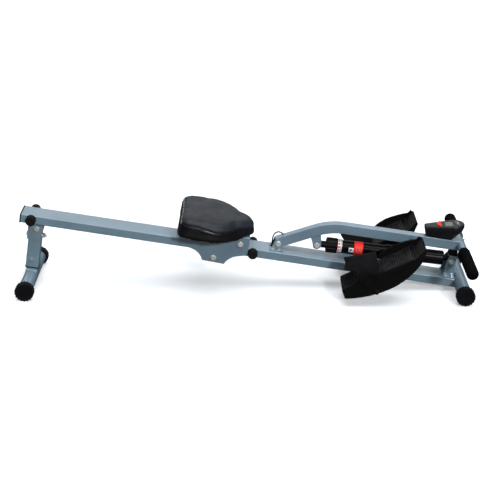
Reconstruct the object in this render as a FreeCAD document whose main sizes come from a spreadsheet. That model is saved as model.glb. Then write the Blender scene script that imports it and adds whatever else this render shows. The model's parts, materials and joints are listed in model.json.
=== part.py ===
import FreeCAD, Part
import math
import os

import Sketcher
from FreeCAD import Placement, Rotation, Vector

# Compact rowing machine with one hydraulic damper, in millimetres.
# World frame: +X towards the foot end, +Y across, +Z up, origin on the floor
# under the middle of the base. The seat rail slopes down towards +X, and
# everything fixed to it is drawn in the rail frame: u along the rail, y across,
# w square to the rail's top face, which is w = 0.

DRIVING_DIMENSIONS = {
    "rail_width": 76, "rail_height": 27, "rail_wall": 2, "rail_slope": 8.51,
    "rail_top_at_origin": 135.9, "rail_start": -683, "rail_stop": 672, "rail_corner": 3,
    "end_cap_thick": 4,
    "base_half_span": 660.5, "base_tube_dia": 42, "base_tube_wall": 2, "base_half_width": 150,
    "foot_flat": 28.5, "foot_thick": 22, "foot_ribs": 18, "foot_groove_dia": 4.6,
    "leg_depth": 40, "leg_width": 30, "leg_wall": 2, "leg_centre": -638.5, "leg_bottom": -177,
    "leg_bracket_wall": 3, "leg_bracket_drop": 57.5, "pivot_drop": 47.4, "lock_drop": 73.5,
    "foot_screw_drop": 149.4,
    "bolt_dia": 8, "head_across": 13, "head_height": 5.5, "washer_dia": 17, "washer_thick": 1.6,
    "small_bolt_dia": 6, "small_head": 10, "arm_plate_length": 42,
    "stop_dia": 30, "stop_length": 20, "stop_drop": 12, "rear_stop_at": -652, "front_stop_at": 23.6,
    "plate_wall": 3, "plate_gap": 86, "seat_rise": 36.5, "seat_board": 3,
    "roller_dia": 24.6, "roller_length": 66, "lower_roller_dia": 32.8,
    "axle_lift": 12.6, "axle_sink": 43.7, "front_axle_at": -18, "rear_axle_at": -172,
    "lower_axle_at": -92.8, "running_gap": 0.05,
    "cushion_half_width": 131, "cushion_rear": -215, "cushion_tip": 22, "cushion_low": 31, "cushion_top": 86,
    "arm_height": 31, "arm_width": 28, "arm_wall": 2, "arm_pivot_x": 99, "arm_pivot_z": 143,
    "arm_bend_x": 256, "arm_bend_z": 196, "arm_bend_radius": 190, "arm_tail": 10, "arm_trim": 8.7,
    "bar_x": 659, "bar_z": 138, "bar_dia": 28, "bar_half_length": 221, "grip_dia": 36,
    "grip_inner": 62, "grip_outer": 237,
    "tab_x": 217.5, "tab_z": 137.5, "tab_radius": 13, "ear_wall": 3,
    "damper_x": 630, "damper_z": 92.5, "eye_dia": 20, "eye_width": 20, "rod_dia": 10,
    "neck_dia": 21, "dial_dia": 47, "dial_bore": 24, "dial_start": 28.5, "dial_length": 35,
    "scale_dia": 42, "scale_length": 12.5, "collar_dia": 40.5, "collar_length": 38,
    "tube_dia": 39, "tube_bore": 36, "sleeve_dia": 44, "sleeve_start": 212, "sleeve_stop": 392,
    "band_length": 27, "bracket_gap": 45,
    "axle_dia": 12, "axle_tube_dia": 18, "axle_x": 390.5, "axle_z": 51.6,
    "pedal_inner": 58, "pedal_width": 107, "pedal_tilt": 26, "skirt_wall": 4, "tread_height": 47.6,
    "strap_thick": 3, "strap_heel": -42, "strap_toe": 42,
    "console_x": 606, "console_length": 120, "console_width": 68, "console_rise": 46, "console_tilt": -4,
    "lead_dia": 4, "lead_at": 80, "hole_slack": 0.1,
}

document = FreeCAD.newDocument("rowing_machine")
sheet = document.addObject("Spreadsheet::Sheet", "dims")
for row, (alias, size) in enumerate(DRIVING_DIMENSIONS.items(), start=1):
    sheet.set(f"A{row}", alias)
    sheet.set(f"B{row}", str(size))
    sheet.setAlias(f"B{row}", alias)
document.recompute()

finished = {}


def size_of(alias):
    """Value of one driving dimension."""
    return float(sheet.get(alias))


SLOPE = math.radians(size_of("rail_slope"))
RAIL_FRAME = Placement(Vector(0, 0, size_of("rail_top_at_origin")), Rotation(Vector(0, 1, 0), size_of("rail_slope")))
ALONG_X = Rotation(Vector(0, 1, 0), 90)
ALONG_Y = Rotation(Vector(1, 0, 0), -90)
UPRIGHT = Rotation()
CLEAR_HOLE = "dims.small_bolt_dia / 2 + dims.hole_slack"


def in_rail(x, z):
    """Rail coordinates (u, w) of a world point (x, z)."""
    local = RAIL_FRAME.inverse().multVec(Vector(x, 0, z))
    return local.x, local.z


# ---------------------------------------------------------------- helpers

def bind(item, **expressions):
    """Bind properties to sheet cells; every bare alias is read from the sheet."""
    for name, expression in expressions.items():
        item.setExpression(name, expression)
    return item


def box(name, length, width, height, corner):
    """Box whose three sizes are expressions and whose lowest corner is given."""
    item = bind(document.addObject("Part::Box", name), Length=length, Width=width, Height=height)
    item.Placement = Placement(Vector(*corner), UPRIGHT)
    return item


def cylinder(name, radius, height, start, turn=ALONG_Y):
    """Cylinder that starts at a point and runs along the turned Z axis."""
    item = bind(document.addObject("Part::Cylinder", name), Radius=radius, Height=height)
    item.Placement = Placement(Vector(*start), turn)
    return item


def hexagon(name, across, height, start, turn=ALONG_Y):
    """Hexagonal prism, sized across its flats."""
    item = bind(document.addObject("Part::Prism", name), Circumradius=f"{across} / sqrt(3)", Height=height)
    item.Polygon = 6
    item.Placement = Placement(Vector(*start), turn)
    return item


def fuse(name, parts):
    item = document.addObject("Part::MultiFuse", name)
    item.Shapes = parts
    return item


def group(name, parts):
    """Separate solids that share one node."""
    item = document.addObject("Part::Compound", name)
    item.Links = parts
    return item


def cut(name, base, tool):
    item = document.addObject("Part::Cut", name)
    item.Base = base
    item.Tool = tool
    return item


def rounded(name, base, radius, chosen):
    """Fillet the edges of a recomputed object that the test picks."""
    document.recompute()
    edges = [(number, radius, radius) for number, edge in enumerate(base.Shape.Edges, start=1) if chosen(edge)]
    item = document.addObject("Part::Fillet", name)
    item.Base = base
    item.Edges = edges
    return item


def shaped(name, shape):
    """Free-form piece whose shape is worked out from the sheet's values."""
    item = document.addObject("Part::Feature", name)
    item.Shape = shape
    return item


def keep(item, node, placement=None):
    """Record a finished piece under its node name, and place it."""
    item.Label = node
    if placement is not None:
        item.Placement = placement
    finished[node] = item
    return item


def outline_face(points, plane="xz"):
    """Closed face from points; a triple of points is an arc through its middle one."""
    def place(point):
        return Vector(point[0], 0, point[1]) if plane == "xz" else Vector(point[0], point[1], 0)
    edges = []
    for step in points:
        places = [place(point) for point in step]
        if len(places) == 2:
            edges.append(Part.LineSegment(*places).toShape())
        else:
            edges.append(Part.Arc(*places).toShape())
    return Part.Face(Part.Wire(edges))


def chain(points):
    """Straight runs through the points and back to the first."""
    return [(points[i], points[(i + 1) % len(points)]) for i in range(len(points))]


def bolt_across(name, u, w, half_grip, far_extra=0.0, across="dims.head_across", dia="dims.bolt_dia"):
    """Bolt along Y with head, washers and nut, centred on the middle plane, as one solid."""
    washer = size_of("washer_thick")
    head = size_of("head_height")
    start = -half_grip - washer - head
    parts = [
        cylinder(name + "_shank", f"{dia} / 2", str(2 * (half_grip + washer + head) + 3 + far_extra), (u, start, w)),
        hexagon(name + "_head", across, "dims.head_height", (u, start, w)),
        cylinder(name + "_washer_a", "dims.washer_dia / 2", "dims.washer_thick", (u, -half_grip - washer, w)),
        cylinder(name + "_washer_b", "dims.washer_dia / 2", "dims.washer_thick", (u, half_grip, w)),
        hexagon(name + "_nut", across, "dims.head_height", (u, half_grip + washer, w)),
    ]
    return fuse(name + "_whole", parts)


def short_bolt(name, place, turn, length=6.0):
    """Small hexagon-headed bolt: the head stands on the point, the shank goes down."""
    head = hexagon(name + "_head", "dims.small_head", "4", place, turn)
    down = turn.multVec(Vector(0, 0, -length))
    start = Vector(*place).add(down)
    shank = cylinder(name + "_shank", "dims.small_bolt_dia / 2", str(length + 1), tuple(start), turn)
    return fuse(name, [head, shank])


def plate_holes(name, spots):
    """Upright clearance holes for small bolts through a plate that lies on the rail."""
    return [cylinder(f"{name}_hole_{i}", CLEAR_HOLE, "6", (u, y, -1), UPRIGHT) for i, (u, y) in enumerate(spots)]


def body_with_sketch(name, plane_role):
    """PartDesign body with one sketch on one of its own origin planes."""
    body = document.addObject("PartDesign::Body", name)
    sketch = body.newObject("Sketcher::SketchObject", name + "_sketch")
    plane = [item for item in body.Origin.OriginFeatures if item.Role == plane_role][0]
    sketch.AttachmentSupport = (plane, [""])
    sketch.MapMode = "FlatFace"
    return body, sketch


def draw_rectangle(sketch, width, height, centre_y=0.0):
    """Centred rectangle whose width and height follow the sheet."""
    x, y = 10.0, 10.0
    corners = [(-x, centre_y - y), (x, centre_y - y), (x, centre_y + y), (-x, centre_y + y)]
    first = sketch.GeometryCount
    for i in range(4):
        a, b = corners[i], corners[(i + 1) % 4]
        sketch.addGeometry(Part.LineSegment(Vector(a[0], a[1], 0), Vector(b[0], b[1], 0)), False)
    for i in range(4):
        sketch.addConstraint(Sketcher.Constraint("Coincident", first + i, 2, first + (i + 1) % 4, 1))
    for i in range(4):
        sketch.addConstraint(Sketcher.Constraint("Horizontal" if i % 2 == 0 else "Vertical", first + i))
    across = sketch.addConstraint(Sketcher.Constraint("DistanceX", first, 1, first, 2, 2 * x))
    upward = sketch.addConstraint(Sketcher.Constraint("DistanceY", first + 1, 1, first + 1, 2, 2 * y))
    left = sketch.addConstraint(Sketcher.Constraint("DistanceX", first, 1, -1, 1, x))
    low = sketch.addConstraint(Sketcher.Constraint("DistanceY", first, 1, -1, 1, y))
    sketch.setExpression(f"Constraints[{across}]", width)
    sketch.setExpression(f"Constraints[{upward}]", height)
    sketch.setExpression(f"Constraints[{left}]", f"({width}) / 2")
    sketch.setExpression(f"Constraints[{low}]", f"({height}) / 2 - ({centre_y})")


def box_tube(name, width, height, wall, length, corner):
    """Padded rectangular tube along its own Z, with rounded outer corners."""
    body, sketch = body_with_sketch(name, "XY_Plane")
    draw_rectangle(sketch, width, height)
    pad = body.newObject("PartDesign::Pad", name + "_pad")
    pad.Profile = sketch
    pad.setExpression("Length", length)
    document.recompute()
    edges = [f"Edge{n}" for n, edge in enumerate(pad.Shape.Edges, 1)
             if abs(edge.tangentAt(edge.FirstParameter).z) > 0.99]
    fillet = body.newObject("PartDesign::Fillet", name + "_corners")
    fillet.Base = (pad, edges)
    fillet.setExpression("Radius", corner)
    inner = body.newObject("Sketcher::SketchObject", name + "_hollow_sketch")
    plane = [item for item in body.Origin.OriginFeatures if item.Role == "XY_Plane"][0]
    inner.AttachmentSupport = (plane, [""])
    inner.MapMode = "FlatFace"
    draw_rectangle(inner, f"{width} - 2 * {wall}", f"{height} - 2 * {wall}")
    pocket = body.newObject("PartDesign::Pocket", name + "_hollow")
    pocket.Profile = inner
    pocket.Type = "ThroughAll"
    pocket.Reversed = True
    document.recompute()
    if pocket.Shape.Volume >= fillet.Shape.Volume * 0.9:
        raise RuntimeError(name + ": the hollow was not cut")
    return body


# ---------------------------------------------------------------- base tubes and feet

def base_tube(node, x):
    """Round cross tube with its wall, running across at height foot_flat."""
    half = size_of("base_half_width") - 4
    z = size_of("foot_flat")
    outer = cylinder(node + "_outer", "dims.base_tube_dia / 2", str(2 * half), (x, -half, z))
    bore = cylinder(node + "_bore", "dims.base_tube_dia / 2 - dims.base_tube_wall", str(2 * half + 2),
                    (x, -half - 1, z))
    return keep(cut(node, outer, bore), node)


def foot_cap(node, x, side):
    """Knurled end cap: a polygon with flat rib tops, grooves between them and a blind bore."""
    ribs = int(size_of("foot_ribs"))
    body, sketch = body_with_sketch(node, "XY_Plane")
    corner = size_of("foot_flat") / math.cos(math.pi / ribs)
    angles = [math.pi / ribs + 2 * math.pi * i / ribs for i in range(ribs)]
    ring = [Vector(corner * math.cos(a), corner * math.sin(a), 0) for a in angles]
    for i in range(ribs):
        sketch.addGeometry(Part.LineSegment(ring[i], ring[(i + 1) % ribs]), False)
    for i in range(ribs):
        sketch.addConstraint(Sketcher.Constraint("Coincident", i, 2, (i + 1) % ribs, 1))
    pad = body.newObject("PartDesign::Pad", node + "_pad")
    pad.Profile = sketch
    pad.setExpression("Length", "dims.foot_thick")
    document.recompute()
    solid_volume = pad.Shape.Volume
    groove_sketch = body.newObject("Sketcher::SketchObject", node + "_groove_sketch")
    plane = [item for item in body.Origin.OriginFeatures if item.Role == "XY_Plane"][0]
    groove_sketch.AttachmentSupport = (plane, [""])
    groove_sketch.MapMode = "FlatFace"
    groove_sketch.addGeometry(Part.Circle(ring[0], Vector(0, 0, 1), size_of("foot_groove_dia") / 2), False)
    dia = groove_sketch.addConstraint(Sketcher.Constraint("Diameter", 0, size_of("foot_groove_dia")))
    groove_sketch.setExpression(f"Constraints[{dia}]", "dims.foot_groove_dia")
    groove = body.newObject("PartDesign::Pocket", node + "_groove")
    groove.Profile = groove_sketch
    groove.Type = "ThroughAll"
    groove.Reversed = True
    document.recompute()
    pattern = body.newObject("PartDesign::PolarPattern", node + "_grooves")
    pattern.Originals = [groove]
    axis = [item for item in body.Origin.OriginFeatures if item.Role == "Z_Axis"][0]
    pattern.Axis = (axis, [""])
    pattern.Angle = 360
    pattern.setExpression("Occurrences", "dims.foot_ribs")
    body.Tip = pattern
    document.recompute()
    socket_sketch = body.newObject("Sketcher::SketchObject", node + "_socket_sketch")
    socket_sketch.AttachmentSupport = (plane, [""])
    socket_sketch.MapMode = "FlatFace"
    socket_sketch.addGeometry(Part.Circle(Vector(0, 0, 0), Vector(0, 0, 1), 21), False)
    bore = socket_sketch.addConstraint(Sketcher.Constraint("Diameter", 0, 42))
    socket_sketch.setExpression(f"Constraints[{bore}]", "dims.base_tube_dia + 0.1")
    socket = body.newObject("PartDesign::Pocket", node + "_socket")
    socket.Profile = socket_sketch
    socket.Length = 18
    socket.Reversed = True
    document.recompute()
    body.Tip = socket
    if socket.Shape.Volume > 0.8 * solid_volume:
        raise RuntimeError(node + ": grooves or socket were not cut")
    # The pad's flat outer end faces outwards; one rib top faces straight down.
    turn = Rotation(Vector(1, 0, 0), 90 if side < 0 else -90).multiply(Rotation(Vector(0, 0, 1), 90))
    inner_face = size_of("base_half_width") - size_of("foot_thick")
    body.Placement = Placement(Vector(x, side * inner_face, size_of("foot_flat")), turn)
    return body


def build_base():
    half_span = size_of("base_half_span")
    for end, x in (("rear", -half_span), ("front", half_span)):
        base_tube(end + "_cross_tube", x)
        keep(group(end + "_foot_caps_pair", [foot_cap(end + "_cap_near", x, -1), foot_cap(end + "_cap_far", x, 1)]),
             end + "_foot_caps")


# ---------------------------------------------------------------- rail and rear leg

def build_rail():
    """Flat tube, coped over the front cross tube, with a through hole for the pedal axle tube."""
    tube = box_tube("rail_tube", "dims.rail_height", "dims.rail_width", "dims.rail_wall",
                    "dims.rail_stop - dims.rail_start", "dims.rail_corner")
    tube.Placement = Placement(Vector(size_of("rail_start"), 0, -size_of("rail_height") / 2), ALONG_X)
    front_u, front_w = in_rail(size_of("base_half_span"), size_of("foot_flat"))
    axle_u, axle_w = in_rail(size_of("axle_x"), size_of("axle_z"))
    tools = [
        cylinder("rail_cope", "dims.base_tube_dia / 2", "100", (front_u, -50, front_w)),
        box("rail_trim", "60", "100", "80", (front_u, -50, front_w - 40)),
        cylinder("rail_axle_cut", "dims.axle_tube_dia / 2", "100", (axle_u, -50, axle_w)),
        cylinder("rail_lead_hole", "dims.lead_dia / 2 + 0.4", "8", (size_of("lead_at"), 6, -6), UPRIGHT),
    ]
    for number, u in enumerate((size_of("rear_stop_at"), size_of("front_stop_at"))):
        tools.append(cylinder(f"rail_stud_hole_{number}", CLEAR_HOLE, "100", (u, -50, -size_of("stop_drop"))))
    keep(cut("rail_whole", tube, fuse("rail_tools", tools)), "rail", RAIL_FRAME)
    cap = box("rail_cap_face", "dims.end_cap_thick", "dims.rail_width + 1", "dims.rail_height + 1",
              (size_of("rail_start") - size_of("end_cap_thick"), -size_of("rail_width") / 2 - 0.5,
               -size_of("rail_height") - 0.5))
    plug = box("rail_cap_plug", "18", "dims.rail_width - 2 * dims.rail_wall - 0.4",
               "dims.rail_height - 2 * dims.rail_wall - 0.4",
               (size_of("rail_start") - 1, -size_of("rail_width") / 2 + size_of("rail_wall") + 0.2,
                -size_of("rail_height") + size_of("rail_wall") + 0.2))
    face = rounded("rail_cap_round", cap, 2.0, lambda edge: abs(edge.tangentAt(0).x) > 0.9)
    keep(fuse("rail_rear_cap_whole", [face, plug]), "rail_rear_cap", RAIL_FRAME)


def build_leg():
    """Rear leg, its channel bracket under the rail, the foot post and the bolts."""
    centre = size_of("leg_centre")
    under = -size_of("rail_height")
    wall = size_of("leg_bracket_wall")
    top = under - 3
    length = top - size_of("leg_bottom")
    leg = box_tube("leg_tube", "dims.leg_depth", "dims.leg_width", "dims.leg_wall", str(length), "3")
    leg.Placement = Placement(Vector(centre, 0, size_of("leg_bottom")), UPRIGHT)
    pivot = cylinder("leg_pivot_hole", "dims.bolt_dia / 2 + 0.1", "60", (centre + 3, -30, -size_of("pivot_drop")))
    lock = cylinder("leg_lock_hole", "dims.bolt_dia / 2 + 0.1", "80", (centre - 40, 0, -size_of("lock_drop")), ALONG_X)
    screw = cylinder("leg_screw_hole", "3.1", "60", (centre - 4, -30, -size_of("foot_screw_drop")))
    keep(cut("leg_whole", leg, fuse("leg_holes", [pivot, lock, screw])), "rear_leg", RAIL_FRAME)

    half_depth = size_of("leg_depth") / 2
    half_width = size_of("leg_width") / 2 + 0.3
    drop = size_of("leg_bracket_drop")
    web = box("bracket_web", "dims.leg_bracket_wall", str(2 * (half_width + wall)), str(drop),
              (centre - half_depth - wall - 0.3, -half_width - wall, under - drop))
    cheeks = []
    for side in (-1, 1):
        y = half_width if side > 0 else -half_width - wall
        cheek = outline_face(chain([
            (centre - half_depth - wall, under - drop), (centre + half_depth - 4, under - drop),
            (centre + half_depth + 3, under - 18), (centre + half_depth + 3, under),
            (centre - half_depth - wall, under)]))
        solid = cheek.extrude(Vector(0, wall, 0))
        solid.translate(Vector(0, y, 0))
        cheeks.append(shaped(f"bracket_cheek_{side + 1}", solid))
    flange = box("bracket_flange", "dims.leg_depth + 6", "dims.rail_width - 12", "2.4",
                 (centre - half_depth - 3, -size_of("rail_width") / 2 + 6, under - 2.4))
    holes = fuse("bracket_holes", [
        cylinder("bracket_pivot_hole", "dims.bolt_dia / 2 + 0.1", "60", (centre + 3, -30, -size_of("pivot_drop"))),
        cylinder("bracket_lock_hole", "dims.bolt_dia / 2 + 0.1", "30", (centre - 40, 0, -size_of("lock_drop")), ALONG_X),
    ])
    bracket = fuse("bracket_solid", [web, flange] + cheeks)
    keep(cut("bracket_whole", bracket, holes), "leg_bracket", RAIL_FRAME)

    pivot_bolt = bolt_across("leg_pivot_bolt", centre + 3, -size_of("pivot_drop"), half_width + wall)
    head_at = centre - half_depth - wall - 0.3
    lock_parts = [
        cylinder("lock_shank", "dims.bolt_dia / 2", "dims.leg_depth + dims.leg_bracket_wall + 16",
                 (head_at - 3, 0, -size_of("lock_drop")), ALONG_X),
        cylinder("lock_head", "dims.head_across / 2", "4", (head_at - 4, 0, -size_of("lock_drop")), ALONG_X),
        cylinder("lock_washer", "dims.washer_dia / 2", "dims.washer_thick",
                 (centre + half_depth, 0, -size_of("lock_drop")), ALONG_X),
        hexagon("lock_nut", "dims.head_across", "7", (centre + half_depth + 1.6, 0, -size_of("lock_drop")), ALONG_X),
    ]
    lock_bolt = fuse("lock_whole", lock_parts)

    # Plastic collar at the leg's open end, and the post that slides into it.
    collar_outer = box("collar_outer", "dims.leg_depth + 2", "dims.leg_width + 2", "3",
                       (centre - half_depth - 1, -size_of("leg_width") / 2 - 1, size_of("leg_bottom") - 3))
    collar_inner = box("collar_inner", "32.4", "22.4", "9", (centre - 16.2, -11.2, size_of("leg_bottom") - 4))
    keep(cut("collar_whole", collar_outer, collar_inner), "leg_collar", RAIL_FRAME)

    base_u, base_w = in_rail(-size_of("base_half_span"), size_of("foot_flat"))
    post = box("post_shaft", "32", "22", "60", (centre - 16, -11, size_of("leg_bottom") - 20))
    saddle = box("post_saddle", "36", "60", "15.6", (base_u - 18, -30, base_w + 8))
    saddle_round = rounded("post_saddle_round", saddle, 6.0,
                           lambda edge: abs(edge.tangentAt(0).x) > 0.9 and edge.CenterOfMass.z > base_w + 20)
    seat = cylinder("post_seat", "dims.base_tube_dia / 2", "100", (base_u, -50, base_w))
    post_hole = cylinder("post_screw_hole", "3.1", "60", (centre - 4, -30, -size_of("foot_screw_drop")))
    keep(cut("post_whole", fuse("post_solid", [post, saddle_round]), fuse("post_tools", [seat, post_hole])),
         "leg_post", RAIL_FRAME)
    screw_parts = [
        cylinder("foot_screw_shank", "3", "dims.leg_width + 6", (centre - 4, -size_of("leg_width") / 2 - 3,
                                                               -size_of("foot_screw_drop"))),
        hexagon("foot_screw_head", "10", "3.5", (centre - 4, -size_of("leg_width") / 2 - 3.5,
                                                -size_of("foot_screw_drop"))),
        hexagon("foot_screw_nut", "10", "4", (centre - 4, size_of("leg_width") / 2, -size_of("foot_screw_drop"))),
    ]
    keep(group("leg_bolts_all", [pivot_bolt, lock_bolt, fuse("foot_screw_whole", screw_parts)]), "leg_bolts",
         RAIL_FRAME)


def stop_pair(node, u):
    """Two rubber stops, one each side of the rail, bored for the stud through them."""
    half = size_of("rail_width") / 2 + 0.1
    length = size_of("stop_length")
    w = -size_of("stop_drop")
    stops = []
    for side in (-1, 1):
        start = half if side > 0 else -half - length
        body = cylinder(f"{node}_{side + 1}_body", "dims.stop_dia / 2", "dims.stop_length", (u, start, w))
        bore = cylinder(f"{node}_{side + 1}_bore", "dims.small_bolt_dia / 2 + 0.05", "15",
                        (u, start - 1 if side > 0 else start + length - 14, w))
        outer_y = start + (length if side > 0 else 0)
        soft = rounded(f"{node}_{side + 1}_soft", body, 3.0,
                       lambda edge, y=outer_y: abs(edge.CenterOfMass.y - y) < 0.1 and len(edge.Vertexes) == 1)
        stops.append(cut(f"{node}_{side + 1}", soft, bore))
    return stops


def build_stops():
    stops = stop_pair("rear_stop", size_of("rear_stop_at")) + stop_pair("front_stop", size_of("front_stop_at"))
    keep(group("seat_stops_all", stops), "seat_stops", RAIL_FRAME)
    half = size_of("rail_width") / 2 + 12
    studs = [cylinder(f"stop_stud_{i}", "dims.small_bolt_dia / 2", str(2 * half), (u, -half, -size_of("stop_drop")))
             for i, u in enumerate((size_of("rear_stop_at"), size_of("front_stop_at")))]
    keep(group("stop_studs_pair", studs), "stop_studs", RAIL_FRAME)


# ---------------------------------------------------------------- seat carriage

def build_carriage():
    """Side plates, top plate, axles, rollers and spacers of the seat carriage."""
    top = size_of("seat_rise")
    inner = size_of("plate_gap") / 2
    wall = size_of("plate_wall")
    plate = outline_face([
        ((8, top), (8, -22)), ((8, -22), (-8, -25), (-22, -29)), ((-22, -29), (-44, -41), (-58, -60)),
        ((-58, -60), (-126, -57)), ((-126, -57), (-139, -37), (-158, -26)), ((-158, -26), (-176, -22), (-196, -21)),
        ((-196, -21), (-196, top)), ((-196, top), (8, top))])
    axles = {"front": (size_of("front_axle_at"), size_of("axle_lift")),
             "rear": (size_of("rear_axle_at"), size_of("axle_lift")),
             "lower": (size_of("lower_axle_at"), -size_of("axle_sink"))}
    sides = []
    for side in (-1, 1):
        solid = plate.extrude(Vector(0, wall, 0))
        solid.translate(Vector(0, inner if side > 0 else -inner - wall, 0))
        sides.append(shaped(f"carriage_side_{side + 1}", solid))
    deck = box("carriage_deck", "204", "dims.plate_gap + 2 * dims.plate_wall", "dims.plate_wall",
               (-196, -inner - wall, top - wall))
    folded = rounded("carriage_fold", fuse("carriage_solid", [deck] + sides), 3.0,
                     lambda edge: edge.Length > 180 and abs(edge.CenterOfMass.z - top) < 0.1
                     and abs(abs(edge.CenterOfMass.y) - inner - wall) < 0.1)
    holes = [cylinder(f"carriage_{axle}_hole", "dims.bolt_dia / 2 + 0.1", "140", (u, -70, w))
             for axle, (u, w) in axles.items()]
    screw_spots = ((-160, -30), (-160, 30), (-50, -30), (-50, 30))
    holes += [cylinder(f"carriage_screw_hole_{i}", CLEAR_HOLE, "8", (u, y, top - wall - 2), UPRIGHT)
              for i, (u, y) in enumerate(screw_spots)]
    keep(cut("carriage_whole", folded, fuse("carriage_holes", holes)), "seat_bracket", RAIL_FRAME)
    board = cushion_blank(14.0).extrude(Vector(0, 0, size_of("seat_board")))
    board.translate(Vector(0, 0, top + 0.1))
    board_holes = [cylinder(f"board_hole_{i}", CLEAR_HOLE, "8", (u, y, top - 1), UPRIGHT)
                   for i, (u, y) in enumerate(screw_spots)]
    keep(cut("board_whole", shaped("board_blank", board), fuse("board_holes", board_holes)), "seat_board", RAIL_FRAME)
    screws = []
    for i, (u, y) in enumerate(screw_spots):
        screws.append(short_bolt(f"seat_screw_{i}", (u, y, top - wall), Rotation(Vector(1, 0, 0), 180), 6.0))
    keep(group("seat_screws_all", screws), "seat_screws", RAIL_FRAME)

    roller_half = size_of("roller_length") / 2
    keep(group("axle_bolts_all", [bolt_across(f"{axle}_axle", u, w, inner + wall) for axle, (u, w) in axles.items()]),
         "carriage_axle_bolts", RAIL_FRAME)
    for axle, (u, w) in axles.items():
        dia = "dims.lower_roller_dia" if axle == "lower" else "dims.roller_dia"
        drum = cylinder(f"{axle}_drum", f"{dia} / 2", "dims.roller_length", (u, -roller_half, w))
        waist = cylinder(f"{axle}_bore", "dims.bolt_dia / 2 + dims.running_gap", "80", (u, -40, w))
        soft = rounded(f"{axle}_soft", drum, 2.0, lambda edge: len(edge.Vertexes) == 1)
        keep(cut(f"{axle}_roller_whole", soft, waist), f"{axle}_roller", RAIL_FRAME)
    spacers = []
    for axle, (u, w) in axles.items():
        for side in (-1, 1):
            start = roller_half + 0.4 if side > 0 else -inner
            outer = cylinder(f"spacer_{axle}_{side + 1}_outer", "7", str(inner - roller_half - 0.4), (u, start, w))
            bore = cylinder(f"spacer_{axle}_{side + 1}_bore", "dims.bolt_dia / 2 + 0.05", "20", (u, start - 2, w))
            spacers.append(cut(f"spacer_{axle}_{side + 1}", outer, bore))
    keep(group("spacers_all", spacers), "axle_spacers", RAIL_FRAME)


def cushion_blank(inset):
    """Plan of the seat: nearly straight rear edge, long round shoulders and a blunt nose."""
    half = size_of("cushion_half_width") - inset
    rear = size_of("cushion_rear") + inset
    shoulder, point = -77.0 - 0.45 * inset, size_of("cushion_tip") + 18 - 1.345 * inset
    rear_half = half - 7
    corners = [(rear, -rear_half), (rear, rear_half), (shoulder, half), (point, 0), (shoulder, -half)]
    solid = outline_face(chain(corners), "xy").extrude(Vector(0, 0, 1))
    for spot, radius in (((rear, -rear_half), 38.0), ((rear, rear_half), 38.0), ((shoulder, half), 108.0),
                         ((shoulder, -half), 108.0), ((point, 0), 52.0)):
        edges = [edge for edge in solid.Edges if abs(edge.CenterOfMass.x - spot[0]) < 0.01
                 and abs(edge.CenterOfMass.y - spot[1]) < 0.01]
        solid = solid.makeFillet(radius - inset, edges)
    return [face for face in solid.Faces if face.CenterOfMass.z < 0.001][0]


def build_cushion():
    """Cushion with a soft upper edge; its skirt hangs over the board and clears the bracket."""
    low, high = size_of("cushion_low"), size_of("cushion_top")
    solid = cushion_blank(0).extrude(Vector(0, 0, high - low))
    solid.translate(Vector(0, 0, low))
    solid = solid.makeFillet(15.0, [edge for edge in solid.Edges if edge.CenterOfMass.z > high - 0.1])
    solid = solid.makeFillet(3.0, [edge for edge in solid.Edges if edge.CenterOfMass.z < low + 0.1])
    board_top = size_of("seat_rise") + size_of("seat_board") + 0.4
    recess = cushion_blank(12.0).extrude(Vector(0, 0, board_top - low + 5))
    recess.translate(Vector(0, 0, low - 5))
    half_bracket = size_of("plate_gap") / 2 + size_of("plate_wall") + 1
    notch = Part.makeBox(214, 2 * half_bracket, 20, Vector(-200, -half_bracket, size_of("seat_rise") + 0.4 - 20))
    keep(shaped("cushion_solid", solid.cut(recess.fuse(notch))), "seat_cushion", RAIL_FRAME)


# ---------------------------------------------------------------- pull arm

def arm_path():
    """Centre line of the arm: tail, tangent points of the bend and head, as world points."""
    pivot = Vector(size_of("arm_pivot_x"), 0, size_of("arm_pivot_z"))
    corner = Vector(size_of("arm_bend_x"), 0, size_of("arm_bend_z"))
    bar = Vector(size_of("bar_x"), 0, size_of("bar_z"))
    up = (corner - pivot).normalize()
    down = (bar - corner).normalize()
    turn = math.acos(up.dot(down))
    reach = size_of("arm_bend_radius") * math.tan(turn / 2)
    tail = pivot - up * size_of("arm_tail")
    start = corner - up * reach
    stop = corner + down * reach
    middle = (down - up).normalize()
    inward = size_of("arm_bend_radius") / math.cos(turn / 2) - size_of("arm_bend_radius")
    return tail, start, corner + middle * inward, stop, bar, up, down


def swept_rectangle(path, tail, direction, width, height):
    """Rectangular bar swept along the arm's centre line."""
    square = Vector(-direction.z, 0, direction.x)
    corners = [tail + square * (height / 2 * a) + Vector(0, width / 2 * b, 0)
               for a, b in ((-1, -1), (-1, 1), (1, 1), (1, -1), (-1, -1))]
    return path.makePipeShell([Part.makePolygon(corners)], True, False)


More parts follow.
